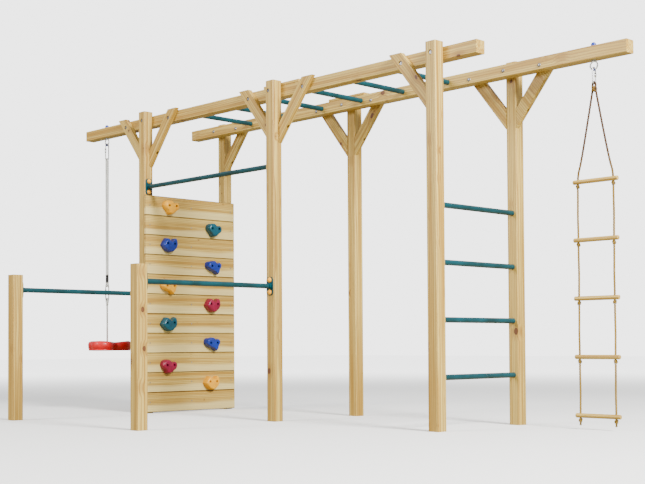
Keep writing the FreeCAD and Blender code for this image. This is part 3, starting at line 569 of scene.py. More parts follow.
def curve_mesh(points: Sequence[Sequence[Vector]], name: str, kind: str = "POLY", depth: float = 0.0,
               resolution: int = 12, sides: int = 2, cyclic: bool = False) -> bpy.types.Mesh:
    """A mesh from one or more splines, as a bare line or as a round tube.

    Args:
        points: the points of each spline.
        name: the name of the mesh.
        kind: POLY or NURBS.
        depth: the tube's radius, or 0 for a bare line.
        resolution: steps between two points of a NURBS spline.
        sides: the tube's bevel resolution.
        cyclic: whether the splines close on themselves.

    Returns:
        the mesh.
    """
    curve = bpy.data.curves.new(name, "CURVE")
    curve.dimensions = "3D"
    curve.resolution_u = resolution
    curve.bevel_depth = depth
    curve.bevel_resolution = sides
    curve.use_fill_caps = True
    for line in points:
        spline = curve.splines.new(kind)
        spline.points.add(len(line) - 1)
        for target, point in zip(spline.points, line):
            target.co = (*point, 1.0)
        spline.use_cyclic_u = cyclic
        if kind == "NURBS":
            spline.order_u = 3
            spline.use_endpoint_u = not cyclic
    holder = bpy.data.objects.new(name, curve)
    bpy.context.scene.collection.objects.link(holder)
    bpy.context.view_layer.update()
    mesh = bpy.data.meshes.new_from_object(holder.evaluated_get(bpy.context.evaluated_depsgraph_get()))
    bpy.data.objects.remove(holder)
    bpy.data.curves.remove(curve)
    return mesh


def spaced(line: Sequence[Vector], step: float) -> list[Vector]:
    """Points along a line, an even distance apart.

    Args:
        line: the points of the line.
        step: about how far apart the new points are.

    Returns:
        the new points.
    """
    lengths = [0.0]
    for before, after in zip(line, line[1:]):
        lengths.append(lengths[-1] + (after - before).length)
    count = max(2, round(lengths[-1] / step))
    found, at = [], 0
    for i in range(count + 1):
        want = lengths[-1] * i / count
        while at < len(line) - 2 and lengths[at + 1] < want:
            at += 1
        run = lengths[at + 1] - lengths[at]
        found.append(line[at].lerp(line[at + 1], (want - lengths[at]) / run if run else 0.0))
    return found


def strands(line: Sequence[Vector], diameter: float, closed: bool = False) -> list[list[Vector]]:
    """Three strands laid round a line.

    Args:
        line: evenly spaced points of the rope's middle.
        diameter: the rope's diameter.
        closed: whether the line closes on itself.

    Returns:
        the points of each strand.
    """
    offset, lay = STRAND_OFFSET * diameter, STRAND_LAY * diameter
    step = (line[1] - line[0]).length
    turns = len(line) * step / lay
    if closed:
        turns = round(turns)
    side = (line[1] - line[0]).orthogonal().normalized()
    found: list[list[Vector]] = [[], [], []]
    for i, point in enumerate(line):
        ahead = (line[min(i + 1, len(line) - 1)] - line[max(i - 1, 0)]).normalized()
        side = (side - ahead * side.dot(ahead)).normalized()
        other = ahead.cross(side)
        for k in range(3):
            angle = 2 * math.pi * (turns * i / len(line) + k / 3)
            found[k].append(point + (side * math.cos(angle) + other * math.sin(angle)) * offset)
    return found


def stretch_uv(mesh: bpy.types.Mesh) -> None:
    """Names the tube's UV map, so that the yarn finish finds it."""
    if mesh.uv_layers:
        mesh.uv_layers[0].name = "UVMap"


def middle(node: str) -> Vector:
    """The middle of a node's box."""
    low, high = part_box(node)
    return (low + high) / 2


def drawn(x: float, y: float, points: Iterable[tuple[float, float]]) -> list[Vector]:
    """The points of a rope's route, from millimetres across and up."""
    return [Vector((x + across / 1000, y, up / 1000)) for across, up in points]


def grow(shape: bmesh.types.BMesh, face: bmesh.types.BMFace, move: Sequence[float], scale: Sequence[float],
         space: Matrix) -> bmesh.types.BMFace:
    """Extrudes a face.

    Args:
        shape: the shape that it is in.
        face: the face.
        move: how far the new face moves.
        scale: how much larger it gets.
        space: where it grows from.

    Returns:
        the new face.
    """
    face = bmesh.ops.extrude_discrete_faces(shape, faces=[face])["faces"][0]
    verts = list(face.verts)
    bmesh.ops.translate(shape, verts=verts, vec=move)
    bmesh.ops.scale(shape, verts=verts, vec=scale, space=space)
    return face


def turned(shape: bmesh.types.BMesh, place: Vector, radii: tuple[float, float], height: float, segments: int,
           lying: bool = False) -> list[bmesh.types.BMVert]:
    """Adds a turned bar.

    Args:
        shape: the shape that it is added to.
        place: the middle of the bar.
        radii: its radius at each end.
        height: its length.
        segments: how many sides it has.
        lying: whether it lies along x instead of standing.

    Returns:
        its corners.
    """
    made = bmesh.ops.create_cone(shape, cap_ends=True, segments=segments, radius1=radii[0], radius2=radii[1],
                                 depth=height)["verts"]
    if lying:
        bmesh.ops.rotate(shape, verts=made, matrix=LYING)
    bmesh.ops.translate(shape, verts=made, vec=place)
    return made


def soften(shape: bmesh.types.BMesh, edges: Iterable[bmesh.types.BMEdge], width: float) -> None:
    """Rounds some edges of a shape."""
    bmesh.ops.bevel(shape, geom=list(edges), offset=width, segments=2, affect="EDGES", profile=0.5, material=-1)


def seen_directly(tree: bpy.types.NodeTree, seen: bpy.types.NodeSocket, lit: bpy.types.NodeSocket,
                  surface: bpy.types.NodeSocket) -> None:
    """Shows one shader to the camera and another to the light.

    Args:
        tree: the nodes that the shaders are in.
        seen: what the camera sees.
        lit: what the light meets.
        surface: the socket of the output.
    """
    mixed = tree.nodes.new("ShaderNodeMixShader")
    tree.links.new(tree.nodes.new("ShaderNodeLightPath").outputs["Is Camera Ray"], mixed.inputs[0])
    tree.links.new(lit, mixed.inputs[1])
    tree.links.new(seen, mixed.inputs[2])
    tree.links.new(mixed.outputs[0], surface)


# ---- camera, floor and lights ----------------------------------------------------------------------------------


@dataclass(frozen=True)
class Viewpoint:
    """Where the set is looked at from."""

    place: Vector = Vector((5.2472, -4.7491, 0.4586))
    turn: float = 46.0679
    rise: float = 1.6285
    roll: float = -0.34
    lens: float = 65.908
    shift: tuple[float, float] = (0.0173, 0.1065)
    sensor: float = 36.0
    sight: float = 200.0

    def build(self) -> None:
        """Makes the camera and gives it to the scene."""
        data = bpy.data.cameras.new("viewpoint")
        data.lens, data.sensor_width = self.lens, self.sensor
        data.shift_x, data.shift_y = self.shift
        data.clip_end = self.sight
        camera = bpy.data.objects.new("viewpoint", data)
        look = Matrix.Identity(4)
        for degrees, axis in ((self.turn, "Z"), (90 + self.rise, "X"), (self.roll, "Z")):
            look = look @ Matrix.Rotation(math.radians(degrees), 4, axis)
        camera.matrix_world = Matrix.Translation(self.place) @ look
        bpy.context.scene.collection.objects.link(camera)
        bpy.context.scene.camera = camera


@dataclass(frozen=True)
class Lamp:
    """A soft round lamp that looks at the middle of the set."""

    name: str
    place: Vector
    size: float
    power: float
    colour: Colour
    look_at: Vector = Vector((0.2, 0.2, 1.0))

    def build(self) -> None:
        """Hangs the lamp."""
        data = bpy.data.lights.new(self.name, "AREA")
        data.shape, data.size, data.energy, data.color = "DISK", self.size, self.power, self.colour
        lamp = bpy.data.objects.new(self.name, data)
        lamp.location = self.place
        lamp.rotation_mode = "QUATERNION"
        lamp.rotation_quaternion = (self.look_at - self.place).to_track_quat("-Z", "Y")
        bpy.context.scene.collection.objects.link(lamp)


@dataclass(frozen=True)
class Studio:
    """A pale floor and soft light all round, with a brighter side."""

    floor_size: float = 60.0
    floor_colour: Colour = (0.86, 0.86, 0.85)
    sky: float = 0.75
    backdrop: float = 4.5
    sky_colour: Colour = (0.96, 0.98, 1.0)
    matting: Colour = (0.34, 0.32, 0.22)
    near_glow: Colour = (0.25, 0.25, 0.25)
    far_glow: Colour = (2.6, 2.6, 2.6)
    glow_from: float = 4.5
    glow_to: float = 13.0
    lamps: tuple[Lamp, ...] = (Lamp("key", Vector((8.0, -1.0, 5.5)), 2.5, 2300.0, (1.0, 0.99, 0.97)),
                               Lamp("front", Vector((-2.5, -8.0, 4.5)), 4.0, 800.0, (1.0, 0.96, 0.9)))

    def build(self) -> None:
        """Makes the floor, the sky and the lamps."""
        g = Graph("studio_floor")
        mottle = g.noise(g.place(), (0.8, 0.8, 0.8), 3.0)
        shade = g.blend(mottle.rise(0.3, 0.7), self.floor_colour, tuple(c * 0.985 for c in self.floor_colour))
        x, y, _ = g.split(g.place())
        glow = g.blend(g.length(g.join(x, y, 0.0)).rise(self.glow_from, self.glow_to), self.near_glow, self.far_glow)
        g.shader.inputs["Emission Strength"].default_value = 1.0
        material = g.finish(Base_Color=shade, Roughness=0.9, Specular_IOR_Level=0.1, Emission_Color=glow)
        self.dim_bounce(material)
        shape = bmesh.new()
        bmesh.ops.create_grid(shape, x_segments=2, y_segments=2, size=self.floor_size / 2)
        mesh = bpy.data.meshes.new("floor")
        shape.to_mesh(mesh)
        shape.free()
        mesh.materials.append(material)
        floor = bpy.data.objects.new("floor", mesh)
        bpy.context.scene.collection.objects.link(floor)
        self.surround()
        for lamp in self.lamps:
            lamp.build()

    def surround(self) -> None:
        """Makes the sky, and behind it the brighter backdrop that only the camera sees."""
        world = bpy.data.worlds.new("studio")
        world.use_nodes = True
        nodes = world.node_tree.nodes
        background = next(n for n in nodes if n.type == "BACKGROUND")
        background.inputs["Color"].default_value = (*self.sky_colour, 1.0)
        background.inputs["Strength"].default_value = self.sky
        backdrop = nodes.new("ShaderNodeBackground")
        backdrop.inputs["Strength"].default_value = self.backdrop
        output = next(n for n in nodes if n.type == "OUTPUT_WORLD")
        seen_directly(world.node_tree, backdrop.outputs[0], background.outputs[0], output.inputs["Surface"])
        bpy.context.scene.world = world

    def dim_bounce(self, material: bpy.types.Material) -> None:
        """Lets the floor throw back less light than it shows, as dark matting under the set would.

        Args:
            material: the floor's finish.
        """
        nodes = material.node_tree.nodes
        output = next(n for n in nodes if n.type == "OUTPUT_MATERIAL")
        shader = next(n for n in nodes if n.type == "BSDF_PRINCIPLED")
        matting = nodes.new("ShaderNodeBsdfDiffuse")
        matting.inputs["Color"].default_value = (*self.matting, 1.0)
        seen_directly(material.node_tree, shader.outputs[0], matting.outputs[0], output.inputs["Surface"])


# ---- ropes -----------------------------------------------------------------------------------------------------


class FarEnd(Enum):
    """What a rope ends in."""

    KNOT = "knot"
    IN_OBJECT = "object"


@dataclass(frozen=True)
class Knot:
    """A tight overhand knot, laid as the closed path that such a knot has, round an upright middle."""

    size: float
    rope: float
    steps: int = 60

    def build(self, name: str, place: Vector, body: str, slot: str, finish: bpy.types.Material,
              turn: float = 0.0) -> bpy.types.Object:
        """Ties the knot.

        Args:
            name: the name of the piece.
            place: the middle of the knot.
            body: the body that it rides on.
            slot: its material slot; not used.
            finish: its rope finish.
            turn: how far it is turned about the upright, in radians.

        Returns:
            the knot.
        """
        reach = (self.size - self.rope) / 2
        line = []
        for i in range(self.steps):
            t = 2 * math.pi * i / self.steps
            radius = 0.66 + 0.34 * math.cos(3 * t)
            line.append(place + Vector((reach * radius * math.cos(2 * t + turn),
                                        reach * radius * math.sin(2 * t + turn), reach * 0.95 * math.sin(3 * t))))
        mesh = curve_mesh(strands(line, self.rope, closed=True), name, depth=self.rope * STRAND_RADIUS, cyclic=True)
        stretch_uv(mesh)
        return keep(mesh, name, body, finish)


@dataclass(frozen=True)
class Whipping:
    """Twine wound tightly round a rope."""

    rope: float
    height: float
    twine: float = 0.0016
    steps: int = 16

    def build(self, name: str, place: Vector, body: str, slot: str, finish: bpy.types.Material) -> bpy.types.Object:
        """Winds the twine.

        Args:
            name: the name of the piece.
            place: the middle of the whipping.
            body: the body that it rides on.
            slot: its material slot; not used.
            finish: its rope finish.

        Returns:
            the whipping.
        """
        turns = round(self.height / self.twine / 0.96)
        radius = self.rope / 2 + self.twine * 0.3
        line = []
        for i in range(turns * self.steps + 1):
            angle = 2 * math.pi * i / self.steps
            line.append(place + Vector((radius * math.cos(angle), radius * math.sin(angle),
                                        self.height * (i / (turns * self.steps) - 0.5))))
        mesh = curve_mesh([line], name, depth=self.twine / 2, sides=1)
        stretch_uv(mesh)
        return keep(mesh, name, body, finish)


@dataclass(frozen=True)
class Fray:
    """The loose yarns of a cut rope end, spread a little below its knot."""

    rope: float
    drop: float
    yarns: int = 26

    def build(self, name: str, top: Vector, body: str, slot: str, finish: bpy.types.Material) -> bpy.types.Object:
        """Spreads the yarns.

        Args:
            name: the name of the piece.
            top: where the yarns start.
            body: the body that they ride on.
            slot: their material slot; not used.
            finish: their finish.

        Returns:
            the tuft.
        """
        lines = []
        for i in range(self.yarns):
            angle, share = i * GOLDEN_ANGLE, math.sqrt((i + 0.5) / self.yarns)
            out = Vector((math.cos(angle), math.sin(angle), 0.0)) * share * self.rope
            reach = self.drop * (1 - 0.22 * ((i * 7) % 5) / 4)
            lines.append([top + out * spread - Vector((0, 0, reach * fall))
                          for spread, fall in ((0.36, 0.0), (0.44, 0.4), (0.58, 0.75), (0.62, 1.0))])
        mesh = curve_mesh(lines, name, "NURBS", depth=self.rope * 0.062, resolution=4, sides=1)
        stretch_uv(mesh)
        return keep(mesh, name, body, finish)


@dataclass
class Rope:
    """A length of three-strand rope along a smooth route."""

    name: str
    node: str
    body: str
    slot: str
    finish: bpy.types.Material
    route: Sequence[Vector]
    diameter: float
    length: float
    far_end: FarEnd
    pieces: list = field(default_factory=list)
    nap: float = 0.002

    def build(self) -> bpy.types.Object:
        bare = curve_mesh([self.route], self.name + "_line", "NURBS", resolution=48)
        line = [v.co.copy() for v in bare.vertices]
        bpy.data.meshes.remove(bare)
        even, full = spaced(line, self.diameter * ROUTE_STEP), self.diameter + self.nap
        mesh = curve_mesh(strands(even, full), self.name, depth=full * STRAND_RADIUS)
        stretch_uv(mesh)
        piece = keep(mesh, self.name, self.body, self.finish, [self.node])
        return piece


# ---- snap links ------------------------------------------------------------------------------------------------


@dataclass
class SnapLink:
    """A forged snap link of round wire: an oval in the YZ plane with a screwed gate on one side."""

    node: str
    body: str
    finish: bpy.types.Material
    wire: float = 0.007
    bend: float = 0.013
    gate_side: int = -1
    nut_width: float = 0.78
    nut_length: float = 0.72
    nut_rise: float = 0.16
    collar_width: float = 0.62
    collar_height: float = 0.5
    collar_places: tuple[float, float] = (-0.72, 0.74)
    rivet_width: float = 0.26
    rivet_length: float = 0.98

    def build(self) -> bpy.types.Object:
        """Forges the link and its gate in the box of its node."""
        low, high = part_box(self.node)
        centre = (low + high) / 2
        top, bottom = high.z - self.wire / 2 - self.bend, low.z + self.wire / 2 + self.bend
        shape = bmesh.new()
        loop = bmesh.ops.create_circle(shape, segments=14, radius=self.wire / 2)["verts"]
        bmesh.ops.translate(shape, verts=loop, vec=(centre.x, centre.y + self.bend, bottom))
        geometry = list({e for v in loop for e in v.link_edges}) + list(loop)
        for pivot, rise in ((bottom, top - bottom), (top, bottom - top)):
            spun = bmesh.ops.spin(shape, geom=geometry, cent=(centre.x, centre.y, pivot), axis=(1, 0, 0),
                                  angle=-math.pi, steps=14)
            geometry = spun["geom_last"]
            edges = [e for e in geometry if isinstance(e, bmesh.types.BMEdge)]
            grown = bmesh.ops.extrude_edge_only(shape, edges=edges)["geom"]
            rim = {v for v in grown if isinstance(v, bmesh.types.BMVert)}
            bmesh.ops.translate(shape, verts=list(rim), vec=(0, 0, rise))
            geometry = list(rim) + [e for e in grown if isinstance(e, bmesh.types.BMEdge) and set(e.verts) <= rim]
        bmesh.ops.remove_doubles(shape, verts=shape.verts, dist=1e-5)
        side = centre.y + self.gate_side * self.bend
        middle_z = (top + bottom) / 2
        half = (top - bottom) / 2
        self.nut(shape, Vector((centre.x, side, middle_z + half * self.nut_rise)), half * self.nut_length)
        for rise in self.collar_places:
            self.collar(shape, Vector((centre.x, side, middle_z + half * rise)))
        width = self.wire * self.rivet_width
        turned(shape, Vector((centre.x, side, middle_z + half * self.collar_places[0])), (width, width),
               self.wire * self.rivet_length, 12, lying=True)
        bmesh.ops.recalc_face_normals(shape, faces=shape.faces)
        return keep(shape, self.node + "_forged", self.body, self.finish, [self.node])

    def nut(self, shape: bmesh.types.BMesh, place: Vector, height: float) -> None:
        """Adds the fluted screw sleeve of the gate.

        Args:
            shape: the link.
            place: the middle of the sleeve.
            height: its length.
        """
        radius = self.wire * self.nut_width
        made = turned(shape, place, (radius, radius), height, 12)
        sides = [f for f in {f for v in made for f in v.link_faces} if abs(f.normal.z) < 0.5]
        bmesh.ops.inset_individual(shape, faces=sides[::2], thickness=radius * 0.12, depth=-radius * 0.1)

    def collar(self, shape: bmesh.types.BMesh, place: Vector) -> None:
        """Adds a thin rounded ring where the gate meets the body.

        Args:
            shape: the link.
            place: the middle of the ring.
        """
        radius, height = self.wire * self.collar_width, self.wire * self.collar_height
        made = turned(shape, place, (radius, radius), height, 14)
        edges = {e for v in made for e in v.link_edges}
        soften(shape, [e for e in edges if abs((e.verts[0].co - e.verts[1].co).z) < 1e-6], height * 0.3)


# ---- the disc swing --------------------------------------------------------------------------------------------


@dataclass
class DiscSwing:
    """The rope swing: doubled upper rope, clamp, snap hook, single lower rope and lobed seat."""

    white: bpy.types.Material
    black: bpy.types.Material
    red: bpy.types.Material
    zinc: bpy.types.Material
    upper_rope: float = 0.012
    lower_rope: float = 0.012
    knot_size: float = 0.034
    lobe_radius: float = 0.080
    lobe_reach: float = 0.090
    lobe_turn: float = math.radians(65)
    lobe_inset: float = 0.03
    lobe_rise: float = 0.0065
    shell: float = 0.005
    rib: float = 0.004
    rib_start: float = 0.024
    rib_round: float = 0.0012
    upper_length: float = 1.87
    lower_length: float = 0.40
    whipping: tuple[float, float] = (0.015, 0.018)
    whipping_z: float = 0.7555

    def build(self) -> None:
        """Makes the whole swing."""
        x, y = middle("swing_hook").x, middle("swing_hook").y
        SnapLink("swing_carabiner", "swing_carabiner", self.zinc).build()
        SnapLink("swing_hook", "swing_drop", self.zinc).build()
        self.lay_upper(x, y)
        self.lay_lower(x, y)
        self.clamp()
        self.seat()

    def lay_upper(self, x: float, y: float) -> None:
        """Lays the doubled rope: up from the clamp, over the link, down, round the hook and back into the clamp.

        Args:
            x: the middle of the swing, along the beams.
            y: the middle of the swing, front to back.
        """
        at = [(-6.5, 937), (-6.5, 993), (-10.2, 1732.1), (-10.2, 1802.3), (10.2, 1802.3), (10.2, 1732.1), (6.5, 993),
              (6.5, 908), (10.2, 899), (10.2, 882.8), (-10.2, 882.8), (-10.2, 899), (-6.5, 908), (-6.5, 936)]
        Rope("swing_upper_rope_laid", "swing_upper_rope", "swing_loop", "white_rope", self.white, drawn(x, y, at),
             self.upper_rope, self.upper_length, FarEnd.IN_OBJECT).build()

    def lay_lower(self, x: float, y: float) -> None:
        """Lays the single rope from its eye round the hook down to the knot inside the seat.

        Args:
            x: the middle of the swing, along the beams.
            y: the middle of the swing, front to back.
        """
        knot_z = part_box("swing_lower_rope")[0].z + self.knot_size / 2
        knot = Knot(self.knot_size, self.lower_rope).build("seat_knot", Vector((x, y, knot_z)), "swing_drop",
                                                           "white_rope", self.white)
        tie = Whipping(*self.whipping).build("eye_whipping", Vector((x, y, self.whipping_z)), "swing_drop",
                                             "white_rope", self.white)
        at = [(3, 752), (3, 765), (10.2, 772), (10.2, 795.2), (-10.2, 795.2), (-10.2, 772), (-2, 763), (0, 700),
              (0, 500), (0, 441.7)]
        Rope("swing_lower_rope_laid", "swing_lower_rope", "swing_drop", "white_rope", self.white, drawn(x, y, at),
             self.lower_rope, self.lower_length, FarEnd.KNOT, [knot, tie]).build()

    def clamp(self) -> None:
        """Moulds the flat black clamp with its lips and three ribs."""
        low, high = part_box("swing_sleeve")
        size, centre = high - low, (low + high) / 2
        shape = bmesh.new()
        made = bmesh.ops.create_circle(shape, cap_ends=True, segments=40, radius=0.5)
        for vert in made["verts"]:
            vert.co.x = math.copysign(abs(2 * vert.co.x) ** 0.8, vert.co.x) / 2
        bmesh.ops.scale(shape, verts=shape.verts, vec=(size.x * 0.9, size.y * 0.86, 1))
        bmesh.ops.translate(shape, verts=shape.verts, vec=(centre.x, centre.y, low.z))
        face = made["verts"][0].link_faces[0]
        steps = ((1.11, 0.0), (1.0, 0.07), (0.9, 0.03), (1.0, 0.22), (1.09, 0.03), (1.0, 0.05), (0.915, 0.03),
                 (1.0, 0.12), (1.09, 0.03), (1.0, 0.05), (0.915, 0.03), (1.0, 0.22), (1.11, 0.03), (1.0, 0.07),
                 (0.9, 0.02))
        space = Matrix.Translation(-Vector((centre.x, centre.y, 0)))
        for scale, rise in steps:
            face = grow(shape, face, (0, 0, size.z * rise), (scale, scale, 1), space)
        bmesh.ops.holes_fill(shape, edges=shape.edges, sides=0)
        bmesh.ops.recalc_face_normals(shape, faces=shape.faces)
        keep(shape, "swing_clamp", "swing_loop", self.black, ["swing_sleeve"])

    def rim(self, angle: float, inset: float) -> float:
        """How far the three-lobed outline reaches.

        Args:
            angle: the direction from the rope.
            inset: how far inside the edge the outline lies.

        Returns:
            the distance from the rope.
        """
        radius = self.lobe_radius - inset
        turn = (angle - self.lobe_turn + math.pi / 3) % (2 * math.pi / 3) - math.pi / 3
        spread = radius ** 2 - (self.lobe_reach * math.sin(turn)) ** 2
        lobe = self.lobe_reach * math.cos(turn) + math.sqrt(spread) if spread > 0 else 0.0
        return max(lobe, self.lobe_reach - inset)

    def seat(self) -> None:
        """Moulds the seat: a crowned skin with dished lobes, a rounded rim and a skirt, then its wall and hub."""
        low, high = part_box("swing_seat")
        rope = middle("swing_hook")
        height = high.z - low.z
        shape = bmesh.new()
        made = bmesh.ops.create_circle(shape, cap_ends=True, segments=120, radius=1.0)
        face = made["verts"][0].link_faces[0]
        angles = {v: math.atan2(v.co.y, v.co.x) for v in face.verts}
        # from the skirt's foot up over the rim: inset from the edge, share of the height, no radius of its own
        skirt = ((0.009, 0.0, 0.0), (0.006, 0.05, 0.0), (0.004, 0.12, 0.0), (0.0055, 0.14, 0.0), (0.005, 0.2, 0.0),
                 (0.002, 0.22, 0.0), (0.0, 0.6, 0.0), (0.0016, 0.8, 0.0), (0.006, 0.91, 0.0), (0.013, 0.97, 0.0),
                 (0.021, 0.985, 0.0), (0.028, 0.975, 0.0), (0.036, 0.95, 0.0), (0.048, 0.915, 0.0), (0.062, 0.9, 0.0))
        # the raised ring round the rope's hole: no inset, share of the height, radius
        crown = ((0.0, 0.91, 0.05), (0.0, 0.93, 0.036), (0.0, 0.975, 0.024), (0.0, 0.985, 0.018),
                 (0.0, 0.975, 0.0125), (0.0, 0.95, 0.0078))
        for number, (inset, share, radius) in enumerate(skirt + crown):
            if number:
                face = bmesh.ops.extrude_discrete_faces(shape, faces=[face])["faces"][0]
                angles = dict(zip(face.verts, angles.values()))
            for vert, angle in angles.items():
                wave = 0.0 if radius else self.lobe_wave(angle, share)
                reach = radius or self.rim(angle, min(inset, self.lobe_inset)) - max(0.0, inset - self.lobe_inset)
                vert.co = Vector((reach * math.cos(angle), reach * math.sin(angle), height * share + wave))
        for share in (0.8, 0.6):
            face = bmesh.ops.extrude_discrete_faces(shape, faces=[face])["faces"][0]
            bmesh.ops.translate(shape, verts=list(face.verts), vec=(0, 0, height * share - face.verts[0].co.z))
        bmesh.ops.delete(shape, geom=[face], context="FACES_ONLY")
        bmesh.ops.translate(shape, verts=shape.verts, vec=(rope.x, rope.y, low.z))
        bmesh.ops.recalc_face_normals(shape, faces=shape.faces)
        seat = keep(shape, "lobed_seat", "swing_seat", self.red, ["swing_seat"])
        wall = seat.modifiers.new("wall", "SOLIDIFY")
        wall.thickness, wall.offset = self.shell * 0.7, -1.0
        self.ribs(rope, low.z, height)

    def lobe_wave(self, angle: float, share: float) -> float:
        """How far the skin stands up over a lobe, from nothing low on the skirt."""
        return self.lobe_rise * (math.cos(3 * (angle - self.lobe_turn)) - 0.35) * max(0.0, share - 0.6) / 0.4

    def ribs(self, rope: Vector, foot: float, height: float) -> None:
        """Moulds the stiffening ribs under the seat.

        Args:
            rope: the middle of the seat.
            foot: the height of the seat's underside.
            height: the height of the seat.
        """
        shape = bmesh.new()
        for number in range(6):
            turn = self.lobe_turn + number * math.pi / 3
            reach = self.rim(turn, 0.004) - 0.008
            made = bmesh.ops.create_cube(shape, size=1.0)
            start, run = self.rib_start, reach - self.rib_start
            bmesh.ops.scale(shape, verts=made["verts"], vec=(run, self.rib, height * 0.3))
            bmesh.ops.translate(shape, verts=made["verts"], vec=(start + run / 2, 0, height * 0.68))
            bmesh.ops.rotate(shape, verts=made["verts"], matrix=Matrix.Rotation(turn, 3, "Z"))
        soften(shape, shape.edges, self.rib_round)
        bmesh.ops.translate(shape, verts=shape.verts, vec=(rope.x, rope.y, foot))
        keep(shape, "seat_ribs", "swing_seat", self.red)


# ---- the rope ladder -------------------------------------------------------------------------------------------


@dataclass
class RopeLadder:
    """The rope ladder: the gathered top rope, and below it four pairs of ropes between knots."""

    tan: bpy.types.Material
    brown: bpy.types.Material
    zinc: bpy.types.Material
    rope: float = 0.010
    knot: float = 0.024
    gather: float = 0.034
    spacing: float = 0.216
    rungs: int = 5
    knot_below: float = 0.0243
    top_knot_z: float = 1.2887
    gather_z: float = 1.7971
    top_length: float = 1.13
    tail: float = 0.016
    fray: float = 0.0135
    sway: float = 0.0012

    def build(self) -> None:
        """Makes the whole ladder."""
        SnapLink("ladder_carabiner", "ladder_carabiner", self.zinc, gate_side=1).build()
        centre = middle("rope_ladder_rung_1")
        self.lay_top(centre)
        for number in range(2, self.rungs + 1):
            for side, way in (("left", -1), ("right", 1)):
                self.lay_side(centre, number, side, way)

    def lay_top(self, centre: Vector) -> None:
        """Lays the top rope from one knot up through the gathering knot, over the link and down to the other knot.

        Args:
            centre: the middle of the top rung.
        """
        body, x, y, half = "rope_ladder_top", centre.x, centre.y, self.spacing / 2
        end, gathered = Knot(self.knot, self.rope), Knot(self.gather, self.rope * 1.05)
        knots = [end.build(f"top_knot_{side}", Vector((x + way * half, y, self.top_knot_z)), body, "tan_rope", self.tan,
                           way) for side, way in (("left", -1), ("right", 1))]
        knots.append(gathered.build("gathering_knot", Vector((x, y, self.gather_z)), body, "tan_rope", self.brown, 0.6))
        at = [(-108, 1288.7), (-108, 1350), (-86, 1410), (-13, 1770), (-9.2, 1800), (-9.2, 1833.3), (9.2, 1833.3),
              (9.2, 1800), (13, 1770), (86, 1410), (108, 1350), (108, 1288.7)]
        Rope("top_rope_laid", "rope_ladder_top_rope", body, "tan_rope", self.tan, drawn(x, y, at), self.rope,
             self.top_length, FarEnd.KNOT, knots).build()

    def lay_side(self, centre: Vector, number: int, side: str, way: int) -> None:
        """Lays one side rope from the knot above, through its rung, to its own knot.

        Args:
            centre: the middle of the top rung.
            number: the number of its rung, from the top.
            side: left or right.
            way: -1 for left and 1 for right.
        """
        node, body = f"rope_ladder_rope_{side}_{number}", f"rope_ladder_section_{number}"
        x, y = centre.x + way * self.spacing / 2, centre.y
        knot_z = middle(f"rope_ladder_rung_{number}").z - self.knot_below
        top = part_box(node)[1].z
        last = number == self.rungs
        end = knot_z - self.tail if last else knot_z
        knot = Knot(self.knot, self.rope)
        pieces = [knot.build(f"knot_{side}_{number}", Vector((x, y, knot_z)), body, "tan_rope", self.tan, number + way)]
        if last:
            tuft = Fray(self.rope, self.fray)
            pieces.append(tuft.build(f"fray_{side}", Vector((x, y, end + 0.001)), body, "tan_rope", self.tan))
        sway = self.sway * way * (-1) ** number
        route = [Vector((x, y, top)), Vector((x, y, top - 0.06)), Vector((x + sway, y + sway, (top + end) / 2)),
                 Vector((x, y, end + 0.07)), Vector((x, y, end))]
        Rope(f"rope_{side}_{number}_laid", node, body, "tan_rope", self.tan, route, self.rope, top - end, FarEnd.KNOT,
             pieces).build()


# ---- climbing holds --------------------------------------------------------------------------------------------


class HoldShape(Enum):
    """Outlines of the climbing holds on a unit square, across and up."""

    HEART = ((0.12, 0.27), (0.22, 0.33), (0.36, 0.36), (0.48, 0.24), (0.5, 0.04), (0.42, -0.16), (0.26, -0.28),
             (0.12, -0.42), (-0.04, -0.5), (-0.2, -0.44), (-0.26, -0.26), (-0.42, -0.08), (-0.5, 0.12), (-0.42, 0.36),
             (-0.26, 0.48), (-0.06, 0.5), (0.06, 0.38))
    EARS = ((0.08, 0.24), (0.18, 0.3), (0.3, 0.48), (0.4, 0.5), (0.46, 0.36), (0.5, 0.08), (0.42, -0.2), (0.2, -0.44),
            (0.02, -0.5), (-0.2, -0.42), (-0.4, -0.18), (-0.5, 0.0), (-0.38, 0.26), (-0.24, 0.48), (-0.12, 0.46),
            (-0.02, 0.32))
    TAIL = ((0.12, 0.24), (0.22, 0.34), (0.38, 0.4), (0.5, 0.28), (0.5, 0.08), (0.4, -0.08), (0.36, -0.3),
            (0.26, -0.5), (0.16, -0.44), (0.02, -0.28), (-0.12, -0.26), (-0.34, -0.12), (-0.5, 0.06), (-0.46, 0.34),
            (-0.34, 0.44), (-0.18, 0.4), (-0.1, 0.48), (0.02, 0.5), (0.1, 0.4))


